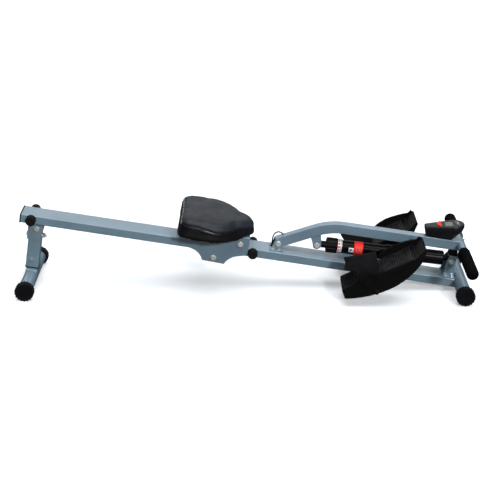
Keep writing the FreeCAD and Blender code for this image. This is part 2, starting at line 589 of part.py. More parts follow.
def build_arm():
    """Bent box tube with its damper ears, cross bar, grips and end plugs."""
    tail, start, mid, stop, bar, up, down = arm_path()
    path = Part.Wire([Part.LineSegment(tail, start).toShape(), Part.Arc(start, mid, stop).toShape(),
                      Part.LineSegment(stop, bar).toShape()])
    height = size_of("arm_height")
    width = size_of("arm_width")
    wall = size_of("arm_wall")
    outer = swept_rectangle(path, tail, up, width, height)
    long_edges = [edge for edge in outer.Edges
                  if abs(abs(edge.CenterOfMass.y) - width / 2) < 0.1 and edge.Length > 40]
    outer = outer.makeFillet(2.5, long_edges)
    inner = swept_rectangle(path, tail, up, width - 2 * wall, height - 2 * wall)
    bar_hole = cylinder("arm_cope", "dims.bar_dia / 2", "80", (bar.x, -40, bar.z))
    pivot_hole = cylinder("arm_pivot_hole", "dims.bolt_dia / 2 + 2", "80",
                          (size_of("arm_pivot_x"), -40, size_of("arm_pivot_z")))
    trim = box("arm_tail_trim", "30", "40", "80",
               (size_of("arm_pivot_x") - size_of("arm_trim") - 30, -20, size_of("arm_pivot_z") - 40))
    lead_start, lead_next = lead_route()[:2]
    lead_hole = cylinder("arm_lead_hole", "dims.lead_dia / 2 + 0.6", "24", tuple(lead_start),
                         Rotation(Vector(0, 0, 1), lead_next - lead_start))
    hollow = cut("arm_hollow", shaped("arm_outer", outer), shaped("arm_inner", inner))
    tube = cut("arm_tube_cut", hollow, fuse("arm_tools", [bar_hole, pivot_hole, lead_hole, trim]))
    keep(tube, "pull_arm")

    tab_x, tab_z, radius = size_of("tab_x"), size_of("tab_z"), size_of("tab_radius")
    under = tail + up * 60 - Vector(-up.z, 0, up.x) * (height / 2)
    slope = up.z / up.x

    def below_arm(x):
        return under.z + (x - under.x) * slope - 0.2

    left, right = tab_x - radius - 6, tab_x + radius - 1
    ear = outline_face([
        ((left, below_arm(left)), (right, below_arm(right))),
        ((right, below_arm(right)), (tab_x + radius, tab_z)),
        ((tab_x + radius, tab_z), (tab_x, tab_z - radius), (tab_x - radius, tab_z)),
        ((tab_x - radius, tab_z), (tab_x - radius, tab_z + 8)),
        ((tab_x - radius, tab_z + 8), (left, below_arm(left))),
    ])
    ears = []
    for side in (-1, 1):
        solid = ear.extrude(Vector(0, size_of("ear_wall"), 0))
        solid.translate(Vector(0, width / 2 - size_of("ear_wall") if side > 0 else -width / 2, 0))
        hole = cylinder(f"ear_{side + 1}_hole", "dims.bolt_dia / 2 + 0.1", "60", (tab_x, -30, tab_z))
        ears.append(cut(f"ear_{side + 1}", shaped(f"ear_{side + 1}_blank", solid), hole))
    keep(group("ears_pair", ears), "damper_ears")
    keep(bolt_across("damper_rear", tab_x, tab_z, width / 2), "damper_rear_bolt")

    bushes = []
    for side in (-1, 1):
        start_y = 9.0 if side > 0 else -14.8
        outer_bush = cylinder(f"bush_{side + 1}_outer", "dims.bolt_dia / 2 + 1.95", "5.8",
                              (size_of("arm_pivot_x"), start_y, size_of("arm_pivot_z")))
        flange = cylinder(f"bush_{side + 1}_flange", "9", "0.7",
                          (size_of("arm_pivot_x"), 14.1 if side > 0 else -14.8, size_of("arm_pivot_z")))
        bore = cylinder(f"bush_{side + 1}_bore", "dims.bolt_dia / 2 + dims.running_gap", "10",
                        (size_of("arm_pivot_x"), start_y - 2, size_of("arm_pivot_z")))
        bushes.append(cut(f"bush_{side + 1}", fuse(f"bush_{side + 1}_solid", [outer_bush, flange]), bore))
    keep(group("bushes_pair", bushes), "arm_pivot_bushes")

    half = size_of("bar_half_length")
    rod = cylinder("bar_outer", "dims.bar_dia / 2", str(2 * half), (bar.x, -half, bar.z))
    bore = cylinder("bar_bore", "dims.bar_dia / 2 - 2", str(2 * half + 2), (bar.x, -half - 1, bar.z))
    screw_holes = [cylinder(f"bar_screw_hole_{side + 1}", CLEAR_HOLE, "20", (bar.x + 4, side * 44, bar.z + 3), ALONG_X)
                   for side in (-1, 1)]
    keep(cut("bar_whole", rod, fuse("bar_tools", [bore] + screw_holes)), "handle_bar")
    inner_y, outer_y = size_of("grip_inner"), size_of("grip_outer")
    for name, side in (("near", -1), ("far", 1)):
        start_y = inner_y if side > 0 else -outer_y
        foam = cylinder(f"grip_{name}_foam", "dims.grip_dia / 2", "dims.grip_outer - dims.grip_inner",
                        (bar.x, start_y, bar.z))
        end_y = side * outer_y
        soft = rounded(f"grip_{name}_round", foam, 14.0,
                       lambda edge, y=end_y: abs(edge.CenterOfMass.y - y) < 0.1 and len(edge.Vertexes) == 1)
        easy = rounded(f"grip_{name}_easy", soft, 2.5,
                       lambda edge, y=side * inner_y: abs(edge.CenterOfMass.y - y) < 0.1 and len(edge.Vertexes) == 1)
        bore = cylinder(f"grip_{name}_bore", "dims.bar_dia / 2 + 0.1", str(half - inner_y + 2),
                        (bar.x, inner_y - 2 if side > 0 else -half - 0.05, bar.z))
        keep(cut(f"grip_{name}_whole", easy, bore), f"grip_{name}")
    screws = []
    for side in (-1, 1):
        screws.append(short_bolt(f"bar_screw_{side + 1}", (bar.x + size_of("bar_dia") / 2 + 0.05, side * 44, bar.z + 3),
                                 ALONG_X, 5.0))
    keep(group("bar_screws", screws), "handle_screws")


def build_arm_bracket():
    """U bracket on the rail that carries the arm's pivot bolt, with its four fixing bolts."""
    u, w = in_rail(size_of("arm_pivot_x"), size_of("arm_pivot_z"))
    base = box("arm_base", "dims.arm_plate_length", "62", "2.5", (u - size_of("arm_plate_length") / 2 - 2, -31, 0.0))
    parts = [base]
    radius = 13.0
    for side in (-1, 1):
        behind, ahead = u - 18.0, u + 15.0
        ear = outline_face([
            ((behind, 0.5), (u - radius, w)), ((u - radius, w), (u, w + radius), (u + radius, w)),
            ((u + radius, w), (ahead, 0.5)), ((ahead, 0.5), (behind, 0.5))])
        solid = ear.extrude(Vector(0, size_of("ear_wall"), 0))
        solid.translate(Vector(0, 15 if side > 0 else -15 - size_of("ear_wall"), 0))
        parts.append(shaped(f"arm_bracket_ear_{side + 1}", solid))
    hole = cylinder("arm_bracket_hole", "dims.bolt_dia / 2 + 0.1", "80", (u, -40, w))
    spots = [(u + along, side * 25) for along in (-13, 5) for side in (-1, 1)]
    tools = [hole, cylinder("arm_bracket_lead", "5.4", "10", (size_of("lead_at"), 6, -2), UPRIGHT)]
    tools += plate_holes("arm_bracket", spots)
    keep(cut("arm_bracket_whole", fuse("arm_bracket_solid", parts), fuse("arm_bracket_tools", tools)),
         "arm_bracket", RAIL_FRAME)
    keep(bolt_across("arm_pivot", u, w, 15 + size_of("ear_wall")), "arm_pivot_bolt", RAIL_FRAME)
    return [short_bolt(f"arm_fix_{i}", (x, y, 2.5), UPRIGHT, 2.4) for i, (x, y) in enumerate(spots)]


# ---------------------------------------------------------------- damper

def damper_frame():
    """Frame on the damper's axis: origin at the rear eye, X towards the front eye."""
    rear = Vector(size_of("tab_x"), 0, size_of("tab_z"))
    front = Vector(size_of("damper_x"), 0, size_of("damper_z"))
    axis = front - rear
    tilt = math.degrees(math.atan2(-axis.z, axis.x))
    return Placement(rear, Rotation(Vector(0, 1, 0), tilt)), axis.Length


def ring(name, outer, inner, start, length):
    """Tube along X, for the damper's coaxial pieces."""
    body = cylinder(name + "_outer", outer, length, (start, 0, 0), ALONG_X)
    bore = cylinder(name + "_inner", inner, f"{length} + 4", (start - 2, 0, 0), ALONG_X)
    return cut(name, body, bore)


def damper_dial(frame):
    """Ribbed adjuster knob, bored clear of the piston rod."""
    body, sketch = body_with_sketch("dial_body", "XY_Plane")
    radius = size_of("dial_dia") / 2
    sketch.addGeometry(Part.Circle(Vector(0, 0, 0), Vector(0, 0, 1), radius), False)
    dia = sketch.addConstraint(Sketcher.Constraint("Diameter", 0, 2 * radius))
    sketch.setExpression(f"Constraints[{dia}]", "dims.dial_dia")
    sketch.addGeometry(Part.Circle(Vector(0, 0, 0), Vector(0, 0, 1), 12), False)
    bore = sketch.addConstraint(Sketcher.Constraint("Diameter", 1, 24))
    sketch.setExpression(f"Constraints[{bore}]", "dims.dial_bore")
    pad = body.newObject("PartDesign::Pad", "dial_pad")
    pad.Profile = sketch
    pad.setExpression("Length", "dims.dial_length - 0.6")
    document.recompute()
    chamfer = body.newObject("PartDesign::Chamfer", "dial_chamfer")
    rims = [f"Edge{n}" for n, edge in enumerate(pad.Shape.Edges, 1)
            if len(edge.Vertexes) == 1 and abs(edge.Curve.Radius - radius) < 0.01]
    chamfer.Base = (pad, rims)
    chamfer.Size = 2.2
    document.recompute()
    groove_sketch = body.newObject("Sketcher::SketchObject", "dial_groove_sketch")
    plane = [item for item in body.Origin.OriginFeatures if item.Role == "XY_Plane"][0]
    groove_sketch.AttachmentSupport = (plane, [""])
    groove_sketch.MapMode = "FlatFace"
    groove_sketch.addGeometry(Part.Circle(Vector(radius + 2.2, 0, 0), Vector(0, 0, 1), 4.2), False)
    groove = body.newObject("PartDesign::Pocket", "dial_groove")
    groove.Profile = groove_sketch
    groove.Type = "ThroughAll"
    groove.Reversed = True
    document.recompute()
    pattern = body.newObject("PartDesign::PolarPattern", "dial_grooves")
    pattern.Originals = [groove]
    axis = [item for item in body.Origin.OriginFeatures if item.Role == "Z_Axis"][0]
    pattern.Axis = (axis, [""])
    pattern.Angle = 360
    pattern.Occurrences = 12
    body.Tip = pattern
    document.recompute()
    if pattern.Shape.Volume > chamfer.Shape.Volume - 50:
        raise RuntimeError("dial: the grooves were not cut")
    keep(body, "damper_dial", frame.multiply(Placement(Vector(size_of("dial_start") + 0.3, 0, 0), ALONG_X)))


def build_damper():
    """Piston rod with its eye, and the cylinder with its collars, sleeve and front eye."""
    frame, span = damper_frame()
    eye_width = size_of("eye_width")
    eye = cylinder("rod_eye_ring", "dims.eye_dia / 2", "dims.eye_width", (0, -eye_width / 2, 0))
    neck = cylinder("rod_eye_neck", "dims.neck_dia / 2", "19.5", (8, 0, 0), ALONG_X)
    eye_hole = cylinder("rod_eye_hole", "dims.bolt_dia / 2 + dims.running_gap", "60", (0, -30, 0))
    keep(cut("rod_eye_whole", fuse("rod_eye_solid", [eye, neck]), eye_hole), "rod_eye", frame)
    rod = cylinder("rod_shaft", "dims.rod_dia / 2", "220", (27.6, 0, 0), ALONG_X)
    piston = cylinder("rod_piston", "12.5", "16", (247.6, 0, 0), ALONG_X)
    keep(fuse("rod_whole", [rod, piston]), "piston_rod", frame)

    at = size_of("dial_start") + size_of("dial_length")
    keep(ring("scale_ring", "dims.scale_dia / 2", "dims.dial_bore / 2", at, "dims.scale_length"), "scale_ring", frame)
    at += size_of("scale_length")
    keep(ring("collar", "dims.collar_dia / 2", "dims.dial_bore / 2", at, "dims.collar_length"), "damper_collar", frame)
    at += size_of("collar_length")
    keep(ring("band", "dims.tube_dia / 2 + 0.9", "dims.tube_dia / 2 + 0.05", at, "dims.band_length"), "red_band",
         frame)
    stop = size_of("sleeve_stop")
    tube_length = stop - 12 - at
    tube = cylinder("tube_outer", "dims.tube_dia / 2", str(tube_length), (at, 0, 0), ALONG_X)
    bore = cylinder("tube_bore_tool", "dims.tube_bore / 2", str(tube_length - 4), (at - 2, 0, 0), ALONG_X)
    keep(cut("tube_whole", tube, bore), "damper_tube", frame)
    sleeve = cylinder("sleeve_outer", "dims.sleeve_dia / 2", "dims.sleeve_stop - dims.sleeve_start",
                      (size_of("sleeve_start"), 0, 0), ALONG_X)
    sleeve_bore = cylinder("sleeve_inner", "dims.tube_dia / 2 + 0.1", "dims.sleeve_stop - dims.sleeve_start - 8",
                           (size_of("sleeve_start") - 1, 0, 0), ALONG_X)
    ends = {size_of("sleeve_start"): 1.5, stop: 5.0}
    soft = sleeve
    for number, (place, radius) in enumerate(ends.items()):
        soft = rounded(f"sleeve_round_{number}", soft, radius,
                       lambda edge, x=place: abs(edge.CenterOfMass.x - x) < 0.1 and len(edge.Vertexes) == 1)
    keep(cut("sleeve_whole", soft, sleeve_bore), "damper_sleeve", frame)
    front_eye = cylinder("front_eye_ring", "dims.eye_dia / 2", "dims.eye_width", (span, -eye_width / 2, 0))
    front_neck = cylinder("front_eye_neck", "9", str(span - 8 - stop), (stop + 0.1, 0, 0), ALONG_X)
    hole = cylinder("front_eye_hole", "dims.bolt_dia / 2 + dims.running_gap", "60", (span, -30, 0))
    keep(cut("front_eye_whole", fuse("front_eye_solid", [front_eye, front_neck]), hole), "front_eye", frame)
    damper_dial(frame)


def arm_underside(u):
    """Height w of the arm's lower face over a rail position u, near the front."""
    _, _, _, stop, _, _, down = arm_path()
    square = Vector(-down.z, 0, down.x)
    point = stop - square * (size_of("arm_height") / 2)
    u0, w0 = in_rail(point.x, point.z)
    u1, w1 = in_rail(point.x + 100 * down.x, point.z + 100 * down.z)
    return w0 + (u - u0) * (w1 - w0) / (u1 - u0)


def build_front_bracket(rear_bolts):
    """Bracket for the damper's front bolt, with the shelf and rubber block the arm rests on."""
    u, w = in_rail(size_of("damper_x"), size_of("damper_z"))
    inner = size_of("bracket_gap") / 2
    wall = size_of("ear_wall")
    base = box("front_base", "36", "75", "2.5", (u - 18, -37.5, 0))
    shelf = box("front_shelf", "25", "54", "3", (u - 8, -27, 63))
    parts = [base, shelf]
    for side in (-1, 1):
        ear = outline_face([
            ((u - 18, 0.5), (u - 14, w)), ((u - 14, w), (u - 11, w + 9), (u - 4, w + 13)),
            ((u - 4, w + 13), (u + 12, w + 13)), ((u + 12, w + 13), (u + 18, 0.5)),
            ((u + 18, 0.5), (u - 18, 0.5))])
        solid = ear.extrude(Vector(0, wall, 0))
        solid.translate(Vector(0, inner if side > 0 else -inner - wall, 0))
        parts.append(shaped(f"front_ear_{side + 1}", solid))
    spots = [(u + a * 11, b * 31.5) for a, b in ((-1, -1), (1, -1), (-1, 1), (1, 1))]
    tools = [cylinder("front_bracket_hole", "dims.bolt_dia / 2 + 0.1", "80", (u, -40, w))]
    tools += plate_holes("front_bracket", spots)
    keep(cut("front_bracket_whole", fuse("front_bracket_solid", parts), fuse("front_bracket_tools", tools)),
         "front_bracket", RAIL_FRAME)
    keep(bolt_across("damper_front", u, w, inner + wall), "damper_front_bolt", RAIL_FRAME)
    spacers = []
    for side in (-1, 1):
        start = size_of("eye_width") / 2 + 0.4 if side > 0 else -inner
        length = inner - size_of("eye_width") / 2 - 0.4
        outer = cylinder(f"front_spacer_{side + 1}_outer", "7", str(length), (u, start, w))
        bore = cylinder(f"front_spacer_{side + 1}_bore", "dims.bolt_dia / 2 + 0.05", "30", (u, start - 2, w))
        spacers.append(cut(f"front_spacer_{side + 1}", outer, bore))
    keep(group("front_spacers_pair", spacers), "damper_spacers", RAIL_FRAME)
    bolts = [short_bolt(f"front_fix_{i}", (x, y, 2.5), UPRIGHT, 2.4) for i, (x, y) in enumerate(spots)]
    keep(group("bracket_bolts_all", bolts + rear_bolts), "bracket_bolts", RAIL_FRAME)
    block = box("rest_blank", "24", "34", str(arm_underside(u + 3) - 0.35 - 66.1), (u - 9, -17, 66.1))
    keep(rounded("rest_round", block, 2.5, lambda edge: True), "rest_block", RAIL_FRAME)


# ---------------------------------------------------------------- pedals

def pedal_frame():
    """Frame on the pedal axle with X along the tread, towards the toe."""
    return Placement(Vector(size_of("axle_x"), 0, size_of("axle_z")), Rotation(Vector(0, 1, 0), -size_of("pedal_tilt")))


def tread_profile(inset, top):
    """Side profile of a pedal: straight tread, raised toe lip and a deep rounded belly."""
    heel, toe = -92.0 + inset, 185.0 - inset
    bend = 144.0
    belly = -9.0 + inset
    lip = top + 14.0
    return [
        ((heel, top - 4), (heel + 3, top)), ((heel + 3, top), (bend, top)), ((bend, top), (toe - 3, lip)),
        ((toe - 3, lip), (toe, lip - 6)), ((toe, lip - 6), (156 - inset, 27 + inset)),
        ((156 - inset, 27 + inset), (112, 5 + inset), (60, belly + 1)),
        ((60, belly + 1), (0, belly + 2), (heel - 3, 20 + inset)), ((heel - 3, 20 + inset), (heel, top - 4)),
    ]


def strap_band(low_y, width, droop):
    """Foot strap: a cone-like band, higher at its heel edge, whose legs end in round tabs."""
    heel, toe = size_of("strap_heel"), size_of("strap_toe")
    middle = low_y + width / 2
    crowns = {heel: (115.0 - droop, 62.0), toe: (93.0 - droop, 56.0)}

    def arch(x, grow):
        crown, spring = crowns[x]
        a, b = low_y - 0.4 - grow, low_y + width + 0.4 + grow
        reach = x + math.copysign(1 - grow / 3, x)
        return Part.Wire([
            Part.LineSegment(Vector(reach, a, 10), Vector(reach, a, spring)).toShape(),
            Part.Arc(Vector(reach, a, spring), Vector(reach, middle, crown + grow - 3),
                     Vector(reach, b, spring)).toShape(),
            Part.LineSegment(Vector(reach, b, spring), Vector(reach, b, 10)).toShape(),
            Part.LineSegment(Vector(reach, b, 10), Vector(reach, a, 10)).toShape(),
        ])

    thick = size_of("strap_thick")
    band = Part.makeLoft([arch(heel, thick), arch(toe, thick)], True, True)
    band = band.cut(Part.makeLoft([arch(heel, 0), arch(toe, 0)], True, True))
    side_view = outline_face([
        ((-50, 130), (-50, 112)), ((-50, 112), (-34, 66)), ((-34, 66), (-34, 44)),
        ((-34, 44), (-10, 19), (18, 40)), ((18, 40), (32, 60)), ((32, 60), (46, 100)),
        ((46, 100), (46, 130)), ((46, 130), (-50, 130))])
    slab = side_view.extrude(Vector(0, width + 20, 0))
    slab.translate(Vector(0, low_y - 10, 0))
    return band.common(slab)


def pedal(name, side):
    """Foot plate with ribbed tread, outer skirts, a high far wall and an axle boss."""
    frame = pedal_frame()
    wall = size_of("skirt_wall")
    top = size_of("tread_height")
    width = size_of("pedal_width")
    inner_y = size_of("pedal_inner")
    low_y = inner_y if side > 0 else -inner_y - width
    outer = outline_face(tread_profile(0, top)).extrude(Vector(0, width, 0))
    heel_edges = [edge for edge in outer.Edges if edge.CenterOfMass.x < -90 and edge.Length < 40
                  and abs(edge.tangentAt(0).y) < 0.1 and edge.CenterOfMass.z < top - 4]
    outer = outer.makeFillet(7.0, heel_edges)
    hollow = outline_face(tread_profile(wall, top - wall - 0.6)).extrude(Vector(0, width - 2 * wall, 0))
    hollow.translate(Vector(0, wall, 0))
    mouth = outline_face(chain([(-80, -20), (146, -20), (146, 18), (60, 4), (-40, 8), (-80, 30)]))
    mouth = mouth.extrude(Vector(0, width - 2 * wall, 0))
    mouth.translate(Vector(0, wall, 0))
    shell = outer.cut(hollow.fuse(mouth))
    arch = outline_face([
        ((45, top - 2), (45, top + 14)), ((45, top + 14), (70, top + 22), (96, top + 25)),
        ((96, top + 25), (136, top + 21), (166, top + 14)), ((166, top + 14), (178, top + 19)),
        ((178, top + 19), (182, top + 9)), ((182, top + 9), (144, top - 2)), ((144, top - 2), (45, top - 2))])
    guard = arch.extrude(Vector(0, wall, 0))
    guard.translate(Vector(0, width - wall, 0))
    shell = shell.fuse(guard)
    rib_pitch, rib_width, rib_height = 7.0, 3.0, 2.2
    ribs = []
    for number in range(32):
        x = -84 + number * rib_pitch
        ribs.append(Part.makeBox(rib_width, width - 2 * wall - 1, rib_height + 1, Vector(x, wall + 0.5, top - 1)))
    shell = shell.fuse(ribs)
    boss = Part.makeCylinder(9, width - 2 * wall, Vector(0, wall, 0), Vector(0, 1, 0))
    gusset = Part.makeBox(8, width - 2 * wall, top - 6, Vector(-4, wall, 2))
    shell = shell.fuse([boss, gusset])
    bore = Part.makeCylinder(size_of("axle_dia") / 2 + size_of("running_gap"), width + 4, Vector(0, -2, 0),
                             Vector(0, 1, 0))
    groove_y = width - wall / 2 if side > 0 else -wall / 2
    groove = Part.makeBox(70, wall, 3, Vector(52, groove_y, top - 17))
    shell = shell.cut(bore.fuse(groove))
    item = shaped(f"pedal_{name}_shell", shell.removeSplitter())
    keep(item, f"pedal_{name}", frame.multiply(Placement(Vector(0, low_y, 0), UPRIGHT)))
    droop = 4.0 if side > 0 else 0.0
    keep(shaped(f"strap_{name}_band", strap_band(low_y, width, droop)), f"foot_strap_{name}", frame)


def build_pedals():
    """Two pedals on one axle that runs in a tube let into the rail's underside."""
    x, z = size_of("axle_x"), size_of("axle_z")
    half_tube = size_of("pedal_inner") - 1.2
    outer = cylinder("axle_tube_outer", "dims.axle_tube_dia / 2", str(2 * half_tube), (x, -half_tube, z))
    bore = cylinder("axle_tube_bore", "dims.axle_dia / 2 + 0.05", "200", (x, -100, z))
    keep(cut("axle_tube_whole", outer, bore), "axle_tube")
    half = size_of("pedal_inner") + size_of("pedal_width")
    shaft = cylinder("axle_shaft", "dims.axle_dia / 2", str(2 * (half + 4)), (x, -half - 4, z))
    keep(shaft, "pedal_axle")
    caps = []
    for side in (-1, 1):
        dome = cylinder(f"axle_dome_{side + 1}", "7.6", "5.5", (x, half + 0.5 if side > 0 else -half - 6, z))
        outer_end = side * (half + 6)
        soft = rounded(f"axle_dome_round_{side + 1}", dome, 2.5,
                       lambda edge, y=outer_end: abs(edge.CenterOfMass.y - y) < 0.1 and len(edge.Vertexes) == 1)
        hole = cylinder(f"axle_nut_hole_{side + 1}", "dims.axle_dia / 2 + 0.02", "20",
                        (x, side * (half + 4.1) - (20 if side > 0 else 0), z))
        caps.append(cut(f"axle_cap_{side + 1}", soft, hole))
    keep(group("axle_nuts_pair", caps), "axle_nuts")
    pedal("near", -1)
    pedal("far", 1)


# ---------------------------------------------------------------- console and lead

def arm_top_frame(x):
    """Frame on the arm's straight top face above a world x, X along the arm."""
    _, _, _, stop, _, _, down = arm_path()
    distance = (x - stop.x) / down.x
    square = Vector(-down.z, 0, down.x)
    origin = stop + down * distance + square * (size_of("arm_height") / 2)
    tilt = math.degrees(math.atan2(-down.z, down.x))
    return Placement(origin, Rotation(Vector(0, 1, 0), tilt))


def console_frame():
    """Frame on the arm's top under the console, nearly level."""
    origin = arm_top_frame(size_of("console_x")).Base
    return Placement(origin, Rotation(Vector(0, 1, 0), size_of("console_tilt")))


def console_ring(rear, front, width, height):
    """Teardrop outline at one height: a narrow blunt tail and a broad round head."""
    half = width / 2
    broad = front - half
    side = [
        ((rear, -half * 0.45), (rear, half * 0.45)),
        ((rear, half * 0.45), (broad, half)),
        ((broad, half), (front, 0), (broad, -half)),
        ((broad, -half), (rear, -half * 0.45)),
    ]
    wire = outline_face(side, "xy").OuterWire
    wire.translate(Vector(0, 0, height))
    return wire


def build_console():
    """Monitor pod: hollow-looking lower bowl, upper case with window and button wells, lens and button."""
    frame = console_frame()
    half, width = size_of("console_length") / 2, size_of("console_width")
    rise = size_of("console_rise")
    seam = rise - 12
    bowl = Part.makeLoft([console_ring(-half + 5, 18, 20, -8), console_ring(-half + 3, 38, 38, 8),
                          console_ring(-half + 1, half - 6, 60, 22), console_ring(-half, half, width, seam)],
                         True, True)
    tilt = arm_top_frame(size_of("console_x")).Rotation
    arm_block = Part.makeBox(400, 120, 60, Vector(-200, -60, -59.8))
    arm_block.Placement = Placement(Vector(0, 0, 0), frame.Rotation.inverted().multiply(tilt))
    keep(shaped("console_lower", bowl.cut(arm_block)), "console_lower_case", frame)
    plan = Part.Face(console_ring(-half, half, width, seam + 0.1))
    upper = plan.extrude(Vector(0, 0, rise - seam - 0.1))
    upper = upper.makeFillet(5.0, [edge for edge in upper.Edges if edge.CenterOfMass.z > rise - 0.1])
    window = Part.makeBox(24, 36, 3, Vector(1, -18, rise - 2.4))
    well = button_shape(0.3, 6.0)
    well.translate(Vector(0, 0, rise - 5))
    keep(shaped("console_upper", upper.cut(window.fuse(well))), "console_upper_case", frame)
    lens = box("lens_blank", "23.6", "35.6", "1.2", (1.2, -17.8, rise - 2.3))
    keep(lens, "console_lens", frame.multiply(lens.Placement))
    button = button_shape(0.0, 5.2)
    button.translate(Vector(0, 0, rise - 3.2))
    button = button.makeFillet(0.8, [edge for edge in button.Edges if edge.CenterOfMass.z > rise + 1.9])
    keep(shaped("button_blank", button), "console_button", frame)


def button_shape(grow, height):
    """Crescent-shaped key across the case, curved towards the tail."""
    half = 22.0 + grow
    face = outline_face([
        ((-12, -half), (-24 - grow, 0), (-12, half)),
        ((-12, half), (-10 + grow, 0), (-12, -half))], "xy")
    return face.extrude(Vector(0, 0, height))


def lead_route():
    """Sensor lead: out of the arm's top, back over its tail and down into the rail."""
    points = [Vector(*point) for point in ((125, 8, 155), (108, 8, 172), (92.5, 7.2, 171), (83.2, 6.5, 159.5))]
    for w in (18, -4):
        points.append(RAIL_FRAME.multVec(Vector(size_of("lead_at"), 6, w)))
    return points


def build_lead():
    """Round lead as straight runs joined by tangent arcs, each as large as its runs allow."""
    points = lead_route()
    edges, last = [], points[0]
    for i in range(1, len(points) - 1):
        before, after = points[i] - points[i - 1], points[i + 1] - points[i]
        short = min(before.Length, after.Length)
        turn = before.getAngle(after)
        reach = 0.45 * short
        radius = reach / math.tan(turn / 2)
        print(f"lead radius at point {i}: {radius:.1f} mm")
        start = points[i] - before.normalize() * reach
        stop = points[i] + after.normalize() * reach
        middle = (start + stop) * 0.5
        to_centre = (middle - points[i]).normalize()
        sagitta = radius / math.cos(turn / 2) - radius
        edges.append(Part.LineSegment(last, start).toShape())
        edges.append(Part.Arc(start, points[i] + to_centre * sagitta, stop).toShape())
        last = stop
    edges.append(Part.LineSegment(last, points[-1]).toShape())
    path = Part.Wire(edges)
    radius = size_of("lead_dia") / 2
    direction = points[1] - points[0]
    circle = Part.Wire(Part.makeCircle(radius, points[0], direction))
    tube = path.makePipeShell([circle], True, True)
    expected = math.pi * radius ** 2 * path.Length
    print(f"lead length {path.Length:.1f} mm, volume {tube.Volume:.0f} of {expected:.0f}")
    if abs(tube.Volume / expected - 1) > 0.03:
        raise RuntimeError("sensor lead: the tube's volume is wrong")
    keep(shaped("lead_tube", tube), "sensor_lead")
    outer = cylinder("rail_grommet_outer", "5", "3.4", (size_of("lead_at"), 6, 0.1), UPRIGHT)
    bore = cylinder("rail_grommet_bore", "dims.lead_dia / 2 + 0.2", "10", (size_of("lead_at"), 6, -3), UPRIGHT)
    keep(cut("rail_grommet_whole", outer, bore), "lead_grommet", RAIL_FRAME)


# ---------------------------------------------------------------- build and write

def check_and_write():
    document.recompute()
    for item in document.Objects:
        if "Invalid" in item.State or "Error" in item.State:
            raise RuntimeError(f"{item.Name} ({item.Label}) failed: {item.State}")
    for node, item in finished.items():
        if item.Shape.isNull() or not item.Shape.isValid():
            raise RuntimeError(f"{node}: shape is null or not valid")
        if not item.Shape.Solids:
            raise RuntimeError(f"{node}: no solid")
    os.makedirs("parts", exist_ok=True)
    for node, item in finished.items():
        item.Shape.exportStep(f"parts/{node}.step")
    print(f"{len(finished)} nodes written")


build_base()
build_rail()
build_leg()
build_stops()
build_carriage()
build_cushion()
arm_bolts = build_arm_bracket()
build_arm()
build_damper()
build_front_bracket(arm_bolts)
build_pedals()
build_console()
build_lead()
check_and_write()
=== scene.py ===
import json
import math

import bmesh
import bpy
from mathutils import Matrix, Vector
from mathutils.bvhtree import BVHTree


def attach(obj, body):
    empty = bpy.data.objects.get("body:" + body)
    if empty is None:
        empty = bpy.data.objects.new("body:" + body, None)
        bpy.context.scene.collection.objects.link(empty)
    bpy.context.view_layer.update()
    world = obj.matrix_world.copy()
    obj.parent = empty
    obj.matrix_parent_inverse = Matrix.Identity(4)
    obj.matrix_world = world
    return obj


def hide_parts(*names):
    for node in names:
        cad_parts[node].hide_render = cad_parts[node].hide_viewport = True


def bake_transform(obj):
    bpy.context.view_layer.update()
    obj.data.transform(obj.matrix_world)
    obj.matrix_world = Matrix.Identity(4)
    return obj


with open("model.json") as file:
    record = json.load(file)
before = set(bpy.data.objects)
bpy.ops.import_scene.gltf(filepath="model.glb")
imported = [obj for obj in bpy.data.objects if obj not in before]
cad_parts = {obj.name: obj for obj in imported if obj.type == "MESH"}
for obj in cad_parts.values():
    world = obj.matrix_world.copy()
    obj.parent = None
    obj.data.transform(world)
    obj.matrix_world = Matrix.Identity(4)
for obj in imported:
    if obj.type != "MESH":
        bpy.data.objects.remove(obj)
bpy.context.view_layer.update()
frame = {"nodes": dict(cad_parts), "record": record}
nodes = frame["nodes"]

# The rail's own frame: u along it towards the foot end, w square to its top face.
RAIL_SLOPE = math.radians(8.51)
RAIL_TOP = 0.1359
RAIL = Matrix.Translation((0, 0, RAIL_TOP)) @ Matrix.Rotation(RAIL_SLOPE, 4, "Y")

# The pedals' own frame: X along the tread from heel to toe, Z square to it, origin on the axle.
AXLE = Vector((0.3905, 0, 0.0516))
PEDAL_TILT = math.radians(26)
PEDAL = Matrix.Translation(AXLE) @ Matrix.Rotation(-PEDAL_TILT, 4, "Y")

# The bolts at the damper's two ends.
DAMPER_REAR = Vector((0.2175, 0, 0.1375))
DAMPER_FRONT = Vector((0.630, 0, 0.0925))

BLACK = (0, 0, 0)
WHITE = (1, 1, 1)


# ------------------------------------------------------------------ camera, light, stage

LENS = 87.84
SENSOR_WIDTH = 36
CAMERA_PLACE = Vector((0.0134, -3.463, 1.548))
CAMERA_TARGET = Vector((0.0134, 0, 0.1133))
CAMERA_ROLL = math.radians(0.65)

# Each sun: name, direction of its source, strength, and degrees of sky that it fills.
SUNS = [
    ("key", (0.42, -1.0, 0.53), 2.3, 6),
    ("front", (0.1, -1.0, 0.1), 0.35, 60),
    ("overhead", (0.1, -0.1, 1.0), 3.7, 60),
    ("backdrop", (-0.1, 1.0, 0.5), 0.5, 50),
]
WORLD_STRENGTH = 0.10
FLOOR_COLOUR = (0.62, 0.66, 0.70)
FLOOR_GLOW = 0.32
WALL_GLOW = 1.0
STAGE_REACH = 30.0
WALL_SIDES = 32


